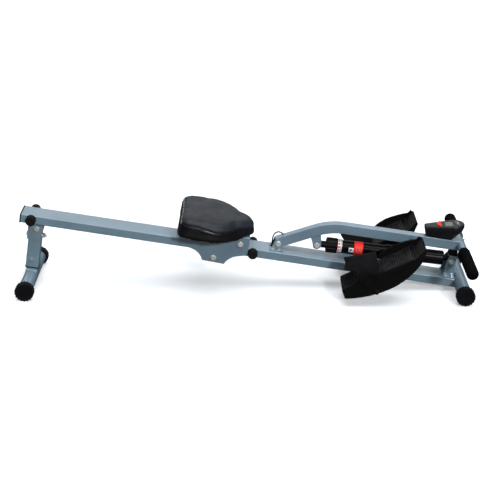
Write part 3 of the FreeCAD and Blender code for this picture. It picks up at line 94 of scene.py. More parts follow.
def make_camera():
    data = bpy.data.cameras.new("camera")
    data.lens = LENS
    data.sensor_width = SENSOR_WIDTH
    camera = bpy.data.objects.new("camera", data)
    bpy.context.scene.collection.objects.link(camera)
    look = (CAMERA_TARGET - CAMERA_PLACE).to_track_quat("-Z", "Y").to_matrix().to_4x4()
    camera.matrix_world = Matrix.Translation(CAMERA_PLACE) @ look @ Matrix.Rotation(CAMERA_ROLL, 4, "Z")
    bpy.context.scene.camera = camera


def make_suns():
    for name, source, strength, spread in SUNS:
        data = bpy.data.lights.new(name, "SUN")
        data.energy = strength
        data.angle = math.radians(spread)
        lamp = bpy.data.objects.new(name, data)
        lamp.rotation_euler = Vector(source).to_track_quat("Z", "Y").to_euler()
        bpy.context.scene.collection.objects.link(lamp)


def glowing(name, strength, **inputs):
    """Material that gives off some white light of its own."""
    material = bpy.data.materials.new(name)
    material.use_nodes = True
    shader = material.node_tree.nodes["Principled BSDF"]
    for key, value in inputs.items():
        shader.inputs[key.replace("_", " ")].default_value = value
    shader.inputs["Emission Color"].default_value = (*WHITE, 1)
    shader.inputs["Emission Strength"].default_value = strength
    return material


def stage_sheet(name, vertices, faces, material):
    """Part of the studio, which the camera sees but the object neither mirrors nor is lit by."""
    mesh = bpy.data.meshes.new(name)
    mesh.from_pydata(vertices, [], faces)
    mesh.materials.append(material)
    sheet = bpy.data.objects.new(name, mesh)
    bpy.context.scene.collection.objects.link(sheet)
    sheet.visible_diffuse = False
    sheet.visible_glossy = False
    return sheet


def make_stage():
    """White paper floor with a white wall far round it, under a big soft overhead light and a harder key."""
    world = bpy.data.worlds.new("studio")
    world.use_nodes = True
    back = world.node_tree.nodes["Background"]
    back.inputs["Color"].default_value = (*WHITE, 1)
    back.inputs["Strength"].default_value = WORLD_STRENGTH
    bpy.context.scene.world = world
    bpy.context.scene.view_settings.view_transform = "Standard"
    make_suns()
    reach = STAGE_REACH
    paper = glowing("floor_paper", FLOOR_GLOW, Base_Color=(*FLOOR_COLOUR, 1), Roughness=0.9,
                    Specular_IOR_Level=0.1)
    corners = [(-reach, -reach, 0), (reach, -reach, 0), (reach, reach, 0), (-reach, reach, 0)]
    floor = stage_sheet("floor", corners, [(0, 1, 2, 3)], paper)
    turns = [math.tau * k / WALL_SIDES for k in range(WALL_SIDES)]
    foot = [(reach * math.cos(turn), reach * math.sin(turn), 0) for turn in turns]
    head = [(x, y, reach) for x, y, _ in foot]
    faces = grid_faces(2, WALL_SIDES, closed_columns=True)
    backdrop = stage_sheet("backdrop", foot + head, faces, glowing("backdrop_white", WALL_GLOW))
    backdrop.visible_shadow = False


# ------------------------------------------------------------------ materials

# The colour mix node has a socket of each name for every type of data, and these are the colour ones.
MIX_FIRST, MIX_SECOND, MIX_RESULT = 6, 7, 2


class Paint:
    """Small builder for node materials."""

    def __init__(self, name, colour, roughness, metallic=0.0, **inputs):
        self.material = bpy.data.materials.new(name)
        self.material.use_nodes = True
        self.tree = self.material.node_tree
        self.shader = self.tree.nodes["Principled BSDF"]
        self.shader.inputs["Base Color"].default_value = (*colour, 1)
        self.shader.inputs["Roughness"].default_value = roughness
        self.shader.inputs["Metallic"].default_value = metallic
        for key, value in inputs.items():
            self.shader.inputs[key.replace("_", " ")].default_value = value
        self.coords = self.tree.nodes.new("ShaderNodeTexCoord").outputs["Object"]
        self.bump = None

    def node(self, kind, **settings):
        item = self.tree.nodes.new(kind)
        for key, value in settings.items():
            setattr(item, key, value)
        return item

    def link(self, a, b):
        self.tree.links.new(a, b)

    def noise(self, scale, detail=3.0):
        item = self.node("ShaderNodeTexNoise")
        item.inputs["Scale"].default_value = scale
        item.inputs["Detail"].default_value = detail
        self.link(self.coords, item.inputs["Vector"])
        return item.outputs["Fac"]

    def cells(self, scale, feature="F1"):
        item = self.node("ShaderNodeTexVoronoi", feature=feature)
        item.inputs["Scale"].default_value = scale
        self.link(self.coords, item.inputs["Vector"])
        return item.outputs["Distance"]

    def dot(self, axis, offset):
        """Distance along an axis through the object, as a value."""
        product = self.node("ShaderNodeVectorMath", operation="DOT_PRODUCT")
        product.inputs[1].default_value = axis
        self.link(self.coords, product.inputs[0])
        shifted = self.node("ShaderNodeMath", operation="ADD")
        shifted.inputs[1].default_value = offset
        self.link(product.outputs["Value"], shifted.inputs[0])
        return shifted.outputs[0]

    def product(self, source, other):
        """One value times another, which is a number or a socket."""
        item = self.node("ShaderNodeMath", operation="MULTIPLY")
        self.link(source, item.inputs[0])
        if isinstance(other, float):
            item.inputs[1].default_value = other
        else:
            self.link(other, item.inputs[1])
        return item.outputs[0]

    def product_and(self, source, factor, added):
        """A value times a number, plus another value."""
        item = self.node("ShaderNodeMath", operation="MULTIPLY_ADD")
        item.inputs[1].default_value = factor
        self.link(source, item.inputs[0])
        self.link(added, item.inputs[2])
        return item.outputs[0]

    def scaled(self, source, low, high, to_low, to_high):
        item = self.node("ShaderNodeMapRange")
        item.inputs["From Min"].default_value = low
        item.inputs["From Max"].default_value = high
        item.inputs["To Min"].default_value = to_low
        item.inputs["To Max"].default_value = to_high
        self.link(source, item.inputs["Value"])
        return item.outputs["Result"]

    def ramp(self, source, *stops):
        item = self.node("ShaderNodeValToRGB")
        ramp = item.color_ramp
        while len(ramp.elements) < len(stops):
            ramp.elements.new(0.5)
        for element, (place, colour) in zip(ramp.elements, stops):
            element.position = place
            element.color = (*colour, 1)
        self.link(source, item.inputs["Fac"])
        return item.outputs["Color"]

    def colours(self, source, *stops):
        self.link(self.ramp(source, *stops), self.shader.inputs["Base Color"])

    def roughness(self, source, low, high):
        self.link(self.scaled(source, 0, 1, low, high), self.shader.inputs["Roughness"])

    def bumps(self, source, strength, distance):
        """Add bumps on top of those already there."""
        item = self.node("ShaderNodeBump")
        item.inputs["Strength"].default_value = strength
        item.inputs["Distance"].default_value = distance
        self.link(source, item.inputs["Height"])
        if self.bump is not None:
            self.link(self.bump.outputs["Normal"], item.inputs["Normal"])
        self.link(item.outputs["Normal"], self.shader.inputs["Normal"])
        self.bump = item


def mix(colour, other, share):
    return tuple(a + (b - a) * share for a, b in zip(colour, other))


STEEL_BLUE = (0.104, 0.170, 0.222)
PLASTIC_DUST = (0.1, 0.1, 0.11)


def paint_steel():
    """Satin enamel on steel: faint orange peel and a little colour variation."""
    paint = Paint("blue_grey_enamel", STEEL_BLUE, 0.34, Coat_Weight=0.35, Coat_Roughness=0.22)
    dark, light = mix(STEEL_BLUE, BLACK, 0.09), mix(STEEL_BLUE, WHITE, 0.03)
    paint.colours(paint.noise(9.0, 4.0), (0.3, dark), (0.7, light))
    paint.roughness(paint.noise(60.0), 0.27, 0.42)
    paint.bumps(paint.noise(420.0, 2.0), 0.06, 0.0004)
    return paint.material


def moulded(name, colour, roughness, grain=900.0, depth=0.15, gloss=0.06):
    """Moulded plastic or rubber with a fine spark-eroded grain."""
    paint = Paint(name, colour, roughness, Specular_IOR_Level=gloss)
    dark, light = mix(colour, BLACK, 0.25), mix(colour, PLASTIC_DUST, 0.02)
    paint.colours(paint.noise(35.0), (0.3, dark), (0.7, light))
    paint.roughness(paint.noise(80.0), roughness - 0.07, roughness + 0.07)
    paint.bumps(paint.noise(grain), depth, 0.0003)
    return paint.material


# Height of the tread above the pedal axle, and of the band above it where the ribs' tops are found.
TREAD_TOP = 0.0476
RIB_BAND = 0.004
PEDAL_BLACK = (0.002, 0.002, 0.0024)
# Painted highlight colour for the tops of the tread's ribs.
RIB_HIGHLIGHT_GREY = (0.028, 0.029, 0.032)


def pedal_plastic():
    """Grained black plastic, with a painted highlight: lighter grey in patches along the tops of the tread's
    ribs.
    """
    paint = Paint("pedal_plastic", PEDAL_BLACK, 0.5, Specular_IOR_Level=0.08)
    tilt = (-math.sin(PEDAL_TILT), 0, math.cos(PEDAL_TILT))
    height = paint.dot(tilt, -AXLE.dot(Vector(tilt)))
    band = paint.scaled(height, TREAD_TOP, TREAD_TOP + RIB_BAND, 0, 1)
    # Painted highlight: the tops of the ribs turn lighter grey, in patches.
    tops = paint.ramp(band, (0.40, BLACK), (0.50, WHITE), (0.60, WHITE), (0.68, BLACK))
    patchy = paint.scaled(paint.noise(60.0, 4.0), 0.35, 0.65, 0.15, 1)
    paint.colours(paint.product(tops, patchy), (0.0, PEDAL_BLACK), (1.0, RIB_HIGHLIGHT_GREY))
    paint.roughness(paint.noise(80.0), 0.42, 0.56)
    paint.bumps(paint.noise(800.0), 0.2, 0.0003)
    return paint.material


def foam():
    """Closed-cell foam: small pits all over."""
    paint = Paint("grip_foam", (0.002, 0.002, 0.002), 0.9, Specular_IOR_Level=0.02)
    paint.bumps(paint.cells(700.0), 0.5, 0.0004)
    paint.colours(paint.noise(120.0, 4.0), (0.3, (0.0015, 0.0015, 0.0015)), (0.7, (0.004, 0.004, 0.0045)))
    return paint.material


def metal(name, colour, roughness, metallic=1.0):
    """Plated or bare metal with a fine grain that breaks up its gloss."""
    paint = Paint(name, colour, roughness, metallic)
    grain = paint.noise(900.0, 4.0)
    paint.roughness(grain, max(0.08, roughness - 0.08), roughness + 0.12)
    dark, light = mix(colour, BLACK, 0.12), mix(colour, WHITE, 0.06)
    paint.colours(paint.noise(40.0), (0.3, dark), (0.7, light))
    paint.bumps(grain, 0.05, 0.0002)
    return paint.material


# Height above the rail of the seam between the seat's top panel and its side band, along the rail.
SEAM = [(-0.216, 0.075), (-0.190, 0.075), (-0.150, 0.0745), (-0.120, 0.069), (-0.095, 0.0645),
        (-0.060, 0.0655), (-0.025, 0.068), (0.006, 0.061), (0.024, 0.059)]
# A colour ramp holds values up to 1, so it carries ten times the seam's height in metres.
HEIGHT_IN_RAMP = 10.0
# The change from band to panel is spread over this much of the ramp's value on each side of the seam.
SEAM_BLUR = 0.004
# The top panel's colours are painted sheen of the light above: lighter and bluer than the side band's black
# vinyl.
PANEL_SHEEN_DARK, PANEL_SHEEN_LIGHT = (0.0085, 0.0105, 0.0140), (0.019, 0.0228, 0.0295)
BAND_DARK, BAND_LIGHT = (0.0035, 0.0035, 0.004), (0.007, 0.007, 0.008)


def seam_height(u):
    for (u0, w0), (u1, w1) in zip(SEAM, SEAM[1:]):
        if u <= u1:
            share = min(1.0, max(0.0, (u - u0) / (u1 - u0)))
            return w0 + (w1 - w0) * share
    return SEAM[-1][1]


def above_seam(paint):
    """Value that turns from 0 below the seat's seam line to 1 above it."""
    sine, cosine = math.sin(RAIL_SLOPE), math.cos(RAIL_SLOPE)
    along = paint.dot((cosine, 0, -sine), RAIL_TOP * sine)
    height = paint.dot((sine, 0, cosine), -RAIL_TOP * cosine)
    low, high = SEAM[0][0], SEAM[-1][0]
    stops = [((u - low) / (high - low), (HEIGHT_IN_RAMP * w,) * 3) for u, w in SEAM]
    line = paint.ramp(paint.scaled(along, low, high, 0, 1), *stops)
    gap = paint.product_and(height, HEIGHT_IN_RAMP, paint.product(line, -1.0))
    return paint.scaled(gap, -SEAM_BLUR, SEAM_BLUR, 0, 1)


def vinyl():
    """Seat vinyl: a creased top panel coloured a lighter grey-blue as painted sheen of the light above, and a
    black glossy side band, parted at the seam line.
    """
    paint = Paint("seat_vinyl", (0.02, 0.023, 0.029), 0.5, Specular_IOR_Level=0.2)
    top = above_seam(paint)
    # Painted sheen: above the seam the vinyl is coloured lighter grey-blue than the band below it.
    panel = paint.ramp(paint.noise(19.0, 5.0), (0.36, PANEL_SHEEN_DARK), (0.66, PANEL_SHEEN_LIGHT))
    band = paint.ramp(paint.noise(20.0, 4.0), (0.3, BAND_DARK), (0.7, BAND_LIGHT))
    both = paint.node("ShaderNodeMix", data_type="RGBA")
    paint.link(top, both.inputs["Factor"])
    paint.link(band, both.inputs[MIX_FIRST])
    paint.link(panel, both.inputs[MIX_SECOND])
    paint.link(both.outputs[MIX_RESULT], paint.shader.inputs["Base Color"])
    gloss = paint.scaled(paint.noise(45.0, 4.0), 0, 1, 0.22, 0.38)
    paint.link(paint.product_and(top, 0.2, gloss), paint.shader.inputs["Roughness"])
    paint.bumps(paint.cells(480.0, "DISTANCE_TO_EDGE"), 0.3, 0.0005)
    paint.bumps(paint.noise(30.0, 5.0), 0.35, 0.003)
    return paint.material


def make_materials():
    """Materials by name: one for each of the record's slots, then those that only new pieces use."""
    return {
        "frame_paint": paint_steel(),
        "cap_plastic": moulded("cap_plastic", (0.004, 0.004, 0.005), 0.55),
        "stop_rubber": moulded("stop_rubber", (0.006, 0.006, 0.006), 0.7, 600.0, 0.25),
        "zinc_steel": metal("zinc_steel", (0.82, 0.82, 0.79), 0.2, metallic=0.85),
        "seat_vinyl": vinyl(),
        "board_wood": moulded("board_black", (0.008, 0.008, 0.009), 0.6, 300.0, 0.2),
        "roller_plastic": moulded("roller_nylon", (0.05, 0.05, 0.052), 0.42),
        "grip_foam": foam(),
        "damper_black": moulded("damper_black", (0.0022, 0.0022, 0.003), 0.24, 700.0, 0.05, 0.07),
        "damper_red": moulded("damper_red", (0.80, 0.030, 0.022), 0.32, 500.0, 0.03),
        "scale_white": moulded("scale_white", (0.82, 0.82, 0.84), 0.35, 500.0, 0.02),
        "damper_steel": metal("hard_chrome", (0.75, 0.76, 0.78), 0.1),
        "pedal_plastic": pedal_plastic(),
        "strap_rubber": moulded("strap_rubber", (0.002, 0.002, 0.0026), 0.6, 500.0, 0.2, 0.04),
        "console_case": moulded("console_case", (0.006, 0.0065, 0.008), 0.4, 900.0, 0.1, 0.2),
        "console_window": moulded("console_lcd", (0.13, 0.15, 0.13), 0.2, 300.0, 0.0),
        "button_red": moulded("button_red", (0.80, 0.028, 0.022), 0.3, 600.0, 0.03),
        "lead_jacket": moulded("lead_jacket", (0.005, 0.005, 0.006), 0.4, 600.0, 0.05),
        "bush_nylon": moulded("bush_nylon", (0.6, 0.6, 0.57), 0.5),
        "thread": moulded("seat_thread", (0.45, 0.46, 0.47), 0.6, 2000.0, 0.3),
        "print_white": moulded("print_white", (0.62, 0.63, 0.65), 0.5, 900.0, 0.03),
        "print_dark": moulded("print_dark", (0.02, 0.03, 0.09), 0.4, 900.0, 0.03),
        "print_pale": moulded("print_pale", (0.85, 0.30, 0.24), 0.4, 900.0, 0.03),
    }


# Faces that meet at more than this many degrees keep a sharp edge between them.
SHARP_EDGE = 32


def dress_nodes():
    """Give every carried-over CAD node its material, and shade its round faces smooth."""
    slots = {part["node"]: part["material_slot"] for part in frame["record"]["subparts"]}
    for name, item in nodes.items():
        item.data.materials.clear()
        item.data.materials.append(paints[slots[name]])
        item.data.polygons.foreach_set("use_smooth", [True] * len(item.data.polygons))
        item.data.set_sharp_from_angle(angle=math.radians(SHARP_EDGE))


# ------------------------------------------------------------------ mesh helpers

WELD_DISTANCE = 1e-6


def millimetres(*point):
    return Vector(point) / 1000


def on_rail(u, y, w):
    return RAIL @ millimetres(u, y, w)


def new_piece(name, vertices, faces, material):
    mesh = bpy.data.meshes.new(name)
    mesh.from_pydata([tuple(v) for v in vertices], [], faces)
    mesh.validate()
    piece = bpy.data.objects.new(name, mesh)
    bpy.context.scene.collection.objects.link(piece)
    mesh.materials.append(material)
    tidy_normals(piece)
    return piece


def tidy_normals(piece):
    """Weld doubled points, turn every face outwards and shade the mesh smooth."""
    work = bmesh.new()
    work.from_mesh(piece.data)
    bmesh.ops.remove_doubles(work, verts=work.verts, dist=WELD_DISTANCE)
    bmesh.ops.recalc_face_normals(work, faces=work.faces)
    for face in work.faces:
        face.smooth = True
    work.to_mesh(piece.data)
    work.free()


def grid_faces(rows, columns, closed_columns=False):
    """Faces between the points of a grid, whose last column may join its first."""
    faces = []
    for row in range(rows - 1):
        for column in range(columns if closed_columns else columns - 1):
            beside = (column + 1) % columns
            here, above = row * columns, (row + 1) * columns
            faces.append((here + column, here + beside, above + beside, above + column))
    return faces


def tube_faces(rings, around):
    """Faces of a tube made of rings of points, with a face across each end."""
    last = (rings - 1) * around
    ends = [tuple(range(around - 1, -1, -1)), tuple(range(last, last + around))]
    return grid_faces(rings, around, closed_columns=True) + ends


def surface_tree(piece):
    return BVHTree.FromObject(piece, bpy.context.evaluated_depsgraph_get())


def applied(piece):
    """Bake a piece's modifiers into its mesh."""
    mesh = bpy.data.meshes.new_from_object(piece.evaluated_get(bpy.context.evaluated_depsgraph_get()))
    piece.modifiers.clear()
    piece.data = mesh


# ------------------------------------------------------------------ seat cushion

# Outline in millimetres on the rail: straight behind, widest at the shoulders, with a blunt point in front.
SEAT_HALF_WIDTH = 131.0
SEAT_REAR = -215.0
SEAT_REAR_TAPER = 7
SEAT_SHOULDER = -77.0
SEAT_POINT = 40.0
SEAT_RADII = (38, 38, 108, 52, 108)
# How far the shoulders and the point draw back for each millimetre of inset.
SHOULDER_DRAW, POINT_DRAW = 0.45, 1.345
LEAST_RADIUS = 4.0
SEAT_POINTS = 120
ARC_STEP = math.radians(6)

# Seat rings from the middle of the underside to the middle of the top: inset and height above the rail.
SEAT_RINGS = [(60, 40.2), (30, 40.2), (12.4, 40.2), (12.2, 36.0), (9.0, 32.0), (5.0, 31.2), (2.6, 35.0),
              (0.8, 46.0), (0.4, 60.0), (1.4, 70.0), (4.5, 77.0), (10.0, 80.2), (26.0, 80.8), (60.0, 81.0)]
# Rings above this height are stretched up from the seat's lowest edge, so that the top one follows the crown.
STRETCH_ABOVE = 41
SEAT_LOW = 31
TOP_RISE = 50
SEAT_CROWN = [(-215, 84.5), (-190, 86.0), (-146, 86.0), (-100, 84.5), (-60, 82.0), (-20, 79.5), (25, 76.5)]
# Over the rail the underside stays at least this high, on this half width.
RAIL_HALF = 52
UNDERSIDE = 38.2


def rounded(corners, radii):
    """Closed outline of a polygon whose corners are rounded by the radii, in millimetres."""
    points = []
    count = len(corners)
    for i, (corner, radius) in enumerate(zip(corners, radii)):
        here = Vector(corner)
        before = (Vector(corners[i - 1]) - here).normalized()
        after = (Vector(corners[(i + 1) % count]) - here).normalized()
        half = before.angle(after) / 2
        middle = here + (before + after).normalized() * radius / math.sin(half)
        start = here + before * radius / math.tan(half) - middle
        sweep = math.pi - 2 * half
        turn = 1 if start.x * after.y - start.y * after.x > 0 else -1
        steps = max(2, round(sweep / ARC_STEP))
        for k in range(steps + 1):
            angle = turn * sweep * k / steps
            points.append(middle + Vector((start.x * math.cos(angle) - start.y * math.sin(angle),
                                           start.x * math.sin(angle) + start.y * math.cos(angle))))
    return points


def even(points, count):
    """The closed outline again, as that many points evenly apart."""
    ends = points[1:] + points[:1]
    lengths = [(b - a).length for a, b in zip(points, ends)]
    total, place, walked, result = sum(lengths), 0, 0.0, []
    for k in range(count):
        want = total * k / count
        while walked + lengths[place] < want:
            walked += lengths[place]
            place += 1
        share = (want - walked) / max(lengths[place], 1e-9)
        result.append(points[place].lerp(ends[place], share))
    return result


def seat_outline(inset):
    """The seat's outline drawn in by the inset."""
    half, rear = SEAT_HALF_WIDTH - inset, SEAT_REAR + inset
    shoulder, point = SEAT_SHOULDER - SHOULDER_DRAW * inset, SEAT_POINT - POINT_DRAW * inset
    rear_half = half - SEAT_REAR_TAPER
    corners = [(rear, -rear_half), (rear, rear_half), (shoulder, half), (point, 0), (shoulder, -half)]
    radii = [max(LEAST_RADIUS, radius - inset) for radius in SEAT_RADII]
    return even(rounded(corners, radii), SEAT_POINTS)


def crown_height(u):
    for (u0, w0), (u1, w1) in zip(SEAT_CROWN, SEAT_CROWN[1:]):
        if u <= u1:
            return w0 + (w1 - w0) * max(0.0, (u - u0) / (u1 - u0))
    return SEAT_CROWN[-1][1]


def seat_blank():
    """Seat shape a little under size, in its rail frame: hollow underneath where the board sits."""
    vertices = []
    for inset, w in SEAT_RINGS:
        for point in seat_outline(inset):
            grown = w
            if w > STRETCH_ABOVE:
                grown = SEAT_LOW + (w - SEAT_LOW) * (crown_height(point.x) - SEAT_LOW) / TOP_RISE
            elif abs(point.y) < RAIL_HALF:
                grown = max(grown, UNDERSIDE)
            vertices.append(Vector((point.x, point.y, grown)) / 1000)
    return new_piece("cushion", vertices, tube_faces(len(SEAT_RINGS), SEAT_POINTS), paints["seat_vinyl"])


VOXEL = 0.0045
CLOTH_PRESSURE = 6.0
CLOTH_FRAMES = 20
CLOTH_QUALITY = 6
# How far a point may swell, and the heights between which that limit grows from nothing to the whole of it.
SWELL_LIMIT = 0.006
SWELL_FROM = 0.041
SWELL_RISE = 0.016


def simulated(piece):
    """Places of the mesh's points after the cloth has swelled under pressure."""
    cloth = piece.modifiers.new("cloth", "CLOTH")
    cloth.settings.use_pressure = True
    cloth.settings.uniform_pressure_force = CLOTH_PRESSURE
    cloth.settings.effector_weights.gravity = 0
    cloth.settings.quality = CLOTH_QUALITY
    scene = bpy.context.scene
    for step in range(1, CLOTH_FRAMES + 1):
        scene.frame_set(step)
    baked = piece.evaluated_get(bpy.context.evaluated_depsgraph_get()).data
    ends = [v.co.copy() for v in baked.vertices]
    piece.modifiers.clear()
    scene.frame_set(1)
    return ends


def inflate(piece):
    """Swell the closed shape like stuffed vinyl; the underside keeps its place."""
    remesh = piece.modifiers.new("remesh", "REMESH")
    remesh.mode = "VOXEL"
    remesh.voxel_size = VOXEL
    applied(piece)
    start = [v.co.copy() for v in piece.data.vertices]
    ends = simulated(piece)
    for vertex, before, after in zip(piece.data.vertices, start, ends):
        share = min(1.0, max(0.0, (before.z - SWELL_FROM) / SWELL_RISE))
        limit = SWELL_LIMIT * share * share * (3 - 2 * share)
        shift = after - before
        if shift.length > limit:
            shift = shift * (limit / shift.length)
        vertex.co = before + shift


# The seam's groove, the puffed vinyl on each side of it, and the gathers on the rear edge, in metres.
GROOVE_DEPTH, GROOVE_WIDTH = 0.0016, 0.0022
PUFF_HEIGHT, PUFF_AWAY, PUFF_WIDTH = 0.0009, 0.006, 0.0035
GATHER_DEPTH, GATHER_WIDTH = 0.0018, 0.0035
GATHER_BEHIND, GATHER_ABOVE = -0.198, 0.062
# Points lower than this, or facing more squarely up, belong to the underside or the top and stay as they are.
UNDERSIDE_TOP = 0.042
FACING_UP = 0.96
STITCHES = 9
STITCH_PITCH = 0.025


def bell(distance, width):
    return math.exp(-(distance / width) ** 2)


def sew_seam(piece):
    """Press the seam between top panel and side band into the mesh, with the vinyl puffed on each side."""
    for vertex in piece.data.vertices:
        u, y, w = vertex.co
        if w < UNDERSIDE_TOP or vertex.normal.z > FACING_UP:
            continue
        gap = w - seam_height(u)
        shift = PUFF_HEIGHT * bell(abs(gap) - PUFF_AWAY, PUFF_WIDTH) - GROOVE_DEPTH * bell(gap, GROOVE_WIDTH)
        if u < GATHER_BEHIND and w > GATHER_ABOVE:
            nearest = STITCH_PITCH * round(y / STITCH_PITCH)
            shift -= GATHER_DEPTH * bell(y - nearest, GATHER_WIDTH)
        vertex.co = vertex.co + vertex.normal * shift


def make_cushion():
    piece = seat_blank()
    inflate(piece)
    tidy_normals(piece)
    calm = piece.modifiers.new("calm", "SMOOTH")
    calm.factor = 0.5
    calm.iterations = 6
    finer = piece.modifiers.new("finer", "SUBSURF")
    finer.levels = finer.render_levels = 1
    applied(piece)
    sew_seam(piece)
    piece.data.transform(RAIL)
    tidy_normals(piece)
    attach(piece, "seat_carriage")
    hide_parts("seat_cushion")
    return piece


# A stitch is found by aiming at the seat's heart from behind and above, more steeply for each of its points.
# The aim is in degrees, the heart and the slant are in millimetres on the rail, and the rest is in metres.
STITCH_AIM, STITCH_AIM_STEP = 22, 7
STITCH_POINTS, STITCH_SIDES = 4, 6
STITCH_SLANT = 1.5
STITCH_HEART = (-178, 60)
STITCH_THICK, STITCH_THIN = 0.0011, 0.0005
STITCH_LIFT = 0.0003
AIM_BACK, AIM_REACH = 0.12, 0.13


def stitch_line(tree, y):
    """Points on the seat's rear edge with their normals, from the side band up to the top panel."""
    forward, _, up = RAIL.to_3x3().col
    line = []
    for step in range(STITCH_POINTS):
        turn = math.radians(STITCH_AIM + STITCH_AIM_STEP * step)
        aim = (forward * math.cos(turn) - up * math.sin(turn)).normalized()
        centre = on_rail(STITCH_HEART[0], y + STITCH_SLANT * step, STITCH_HEART[1])
        point, normal, _, _ = tree.ray_cast(centre - aim * AIM_BACK, aim, AIM_REACH)
        if point is not None:
            line.append((point + normal * STITCH_LIFT, normal))
    return line


def make_stitches(cushion):
    """Thread ticks over the edge of the rear panel, each a short bent bead of thread."""
    tree = surface_tree(cushion)
    bead = tube_faces(STITCH_POINTS, STITCH_SIDES)
    vertices, faces = [], []
    for k in range(STITCHES):
        line = stitch_line(tree, 1000 * STITCH_PITCH * (k - (STITCHES - 1) / 2))
        if len(line) < STITCH_POINTS:
            continue
        base = len(vertices)
        for i, (point, normal) in enumerate(line):
            ahead = (line[min(i + 1, STITCH_POINTS - 1)][0] - line[max(i - 1, 0)][0]).normalized()
            side = ahead.cross(normal).normalized()
            size = STITCH_THIN if i in (0, STITCH_POINTS - 1) else STITCH_THICK
            for a in range(STITCH_SIDES):
                angle = math.tau * a / STITCH_SIDES
                vertices.append(point + (side * math.cos(angle) + normal * math.sin(angle)) * size)
        faces += [tuple(base + v for v in face) for face in bead]
    piece = new_piece("seat_stitches", vertices, faces, paints["thread"])
    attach(piece, "seat_carriage")


# ------------------------------------------------------------------ foot straps

# In the pedal's frame, in millimetres. Each row of edges: height, heel edge, toe edge.
SIDE_EDGES = [(19, -10, -9), (24, -21, 4), (30, -27, 11), (37, -31.5, 17), (44, -34, 21), (55, -34.5, 29),
              (66, -35, 34), (90, -43, 42.5), (112, -50, 46), (135, -50, 46)]
TAIL_EDGES = [(60, -28, -14), (84, -30, -14), (93, -45, -14), (100, -57, -14), (103, -59, -14),
              (109, -54, -14), (115, -48, -14), (124, -41, -14), (140, -36, -14)]
# Places along the pedal towards its heel and toe, and the heights of the arch's crown and of its spring there.
HEEL_X, TOE_X = -42.0, 42.0
HEEL_CROWN, TOE_CROWN = 112.0, 90.0
HEEL_SPRING, TOE_SPRING = 62.0, 56.0
STRAP_FOOT = 19.0
STRAP_CLEARANCE = 0.4
PEDAL_WIDTH = 107.0
NEAR_LOW_Y, FAR_LOW_Y = -165.0, 58.0
FAR_DROOP = 4.0
# How far the strap and the tail on top of it stand outside the plain arch, and their thickness in metres.
STRAP_GROW, TAIL_GROW = 1.5, 4.6
STRAP_THICKNESS, TAIL_THICKNESS = 0.0028, 0.0024
TAIL_SPAN = (0.54, 0.78)
STRAP_GRID, TAIL_GRID = (72, 15), (30, 10)
RIM_WIDTH = 0.0009
RIM_ANGLE = 50
EDGE_PASSES = 8


def strap_edges(table, z):
    for (z0, a0, b0), (z1, a1, b1) in zip(table, table[1:]):
        if z <= z1:
            share = max(0.0, (z - z0) / (z1 - z0))
            return a0 + (a1 - a0) * share, b0 + (b1 - b0) * share
    return table[-1][1:]


def arch_point(share, x, low_y, grow, droop):
    """Point of the arch, as share goes from 0 to 1: up one side, over in an arc and down the other."""
    toe = (x - HEEL_X) / (TOE_X - HEEL_X)
    crown = HEEL_CROWN + (TOE_CROWN - HEEL_CROWN) * toe - droop + grow
    spring = HEEL_SPRING + (TOE_SPRING - HEEL_SPRING) * toe
    a, b = low_y - STRAP_CLEARANCE - grow, low_y + PEDAL_WIDTH + STRAP_CLEARANCE + grow
    half, rise = (b - a) / 2, crown - spring
    radius = (half * half + rise * rise) / (2 * rise)
    reach = math.asin(min(1.0, half / radius))
    if rise >= radius:
        reach = math.pi - reach
    leg = spring - STRAP_FOOT
    whole = 2 * leg + 2 * reach * radius
    walked = share * whole
    if walked < leg:
        return a, STRAP_FOOT + walked
    if walked > whole - leg:
        return b, STRAP_FOOT + whole - walked
    angle = (walked - leg) / radius - reach
    return (a + b) / 2 + radius * math.sin(angle), crown - radius + radius * math.cos(angle)


def strap_sheet(table, low_y, grow, droop, span, grid, mirrored):
    """Grid of points on the arch between the table's edges, closer together near the edges."""
    rows, columns = grid
    first, last = span
    vertices = []
    for i in range(rows + 1):
        share = first + (last - first) * i / rows
        for j in range(columns + 1):
            bunched = 0.5 - 0.5 * math.cos(math.pi * j / columns)
            across = 0.5 * bunched + 0.5 * j / columns
            x = 0.0
            # The arch's height depends on x, and the edges' x on the height: a few passes settle them.
            for _ in range(EDGE_PASSES):
                y, z = arch_point(share, x, low_y, grow, droop)
                left, right = strap_edges(table, z)
                x = left + (right - left) * across
            vertices.append(PEDAL @ millimetres(x, -y if mirrored else y, z))
    return vertices, grid_faces(rows + 1, columns + 1)


def soften(piece, thickness):
    """Give a sheet its thickness, with rounded edges."""
    solid = piece.modifiers.new("thickness", "SOLIDIFY")
    solid.thickness = thickness
    solid.offset = 0
    bevel = piece.modifiers.new("rim", "BEVEL")
    bevel.width = RIM_WIDTH
    bevel.segments = 2
    bevel.limit_method = "ANGLE"
    bevel.angle_limit = math.radians(RIM_ANGLE)


def make_strap(name, node, body, low_y, droop, with_tail):
    """Foot strap arched over a pedal; one on the near side of the rail is made as a mirrored far one."""
    mirrored = low_y < 0
    low = -low_y - PEDAL_WIDTH if mirrored else low_y
    vertices, faces = strap_sheet(SIDE_EDGES, low, STRAP_GROW, droop, (0.0, 1.0), STRAP_GRID, mirrored)
    piece = new_piece(name, vertices, faces, paints["strap_rubber"])
    soften(piece, STRAP_THICKNESS)
    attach(piece, body)
    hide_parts(node)
    if with_tail:
        vertices, faces = strap_sheet(TAIL_EDGES, low, TAIL_GROW, droop, TAIL_SPAN, TAIL_GRID, mirrored)
        tail = new_piece(name + "_tail", vertices, faces, paints["strap_rubber"])
        soften(tail, TAIL_THICKNESS)
        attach(tail, body)


# ------------------------------------------------------------------ sensor lead

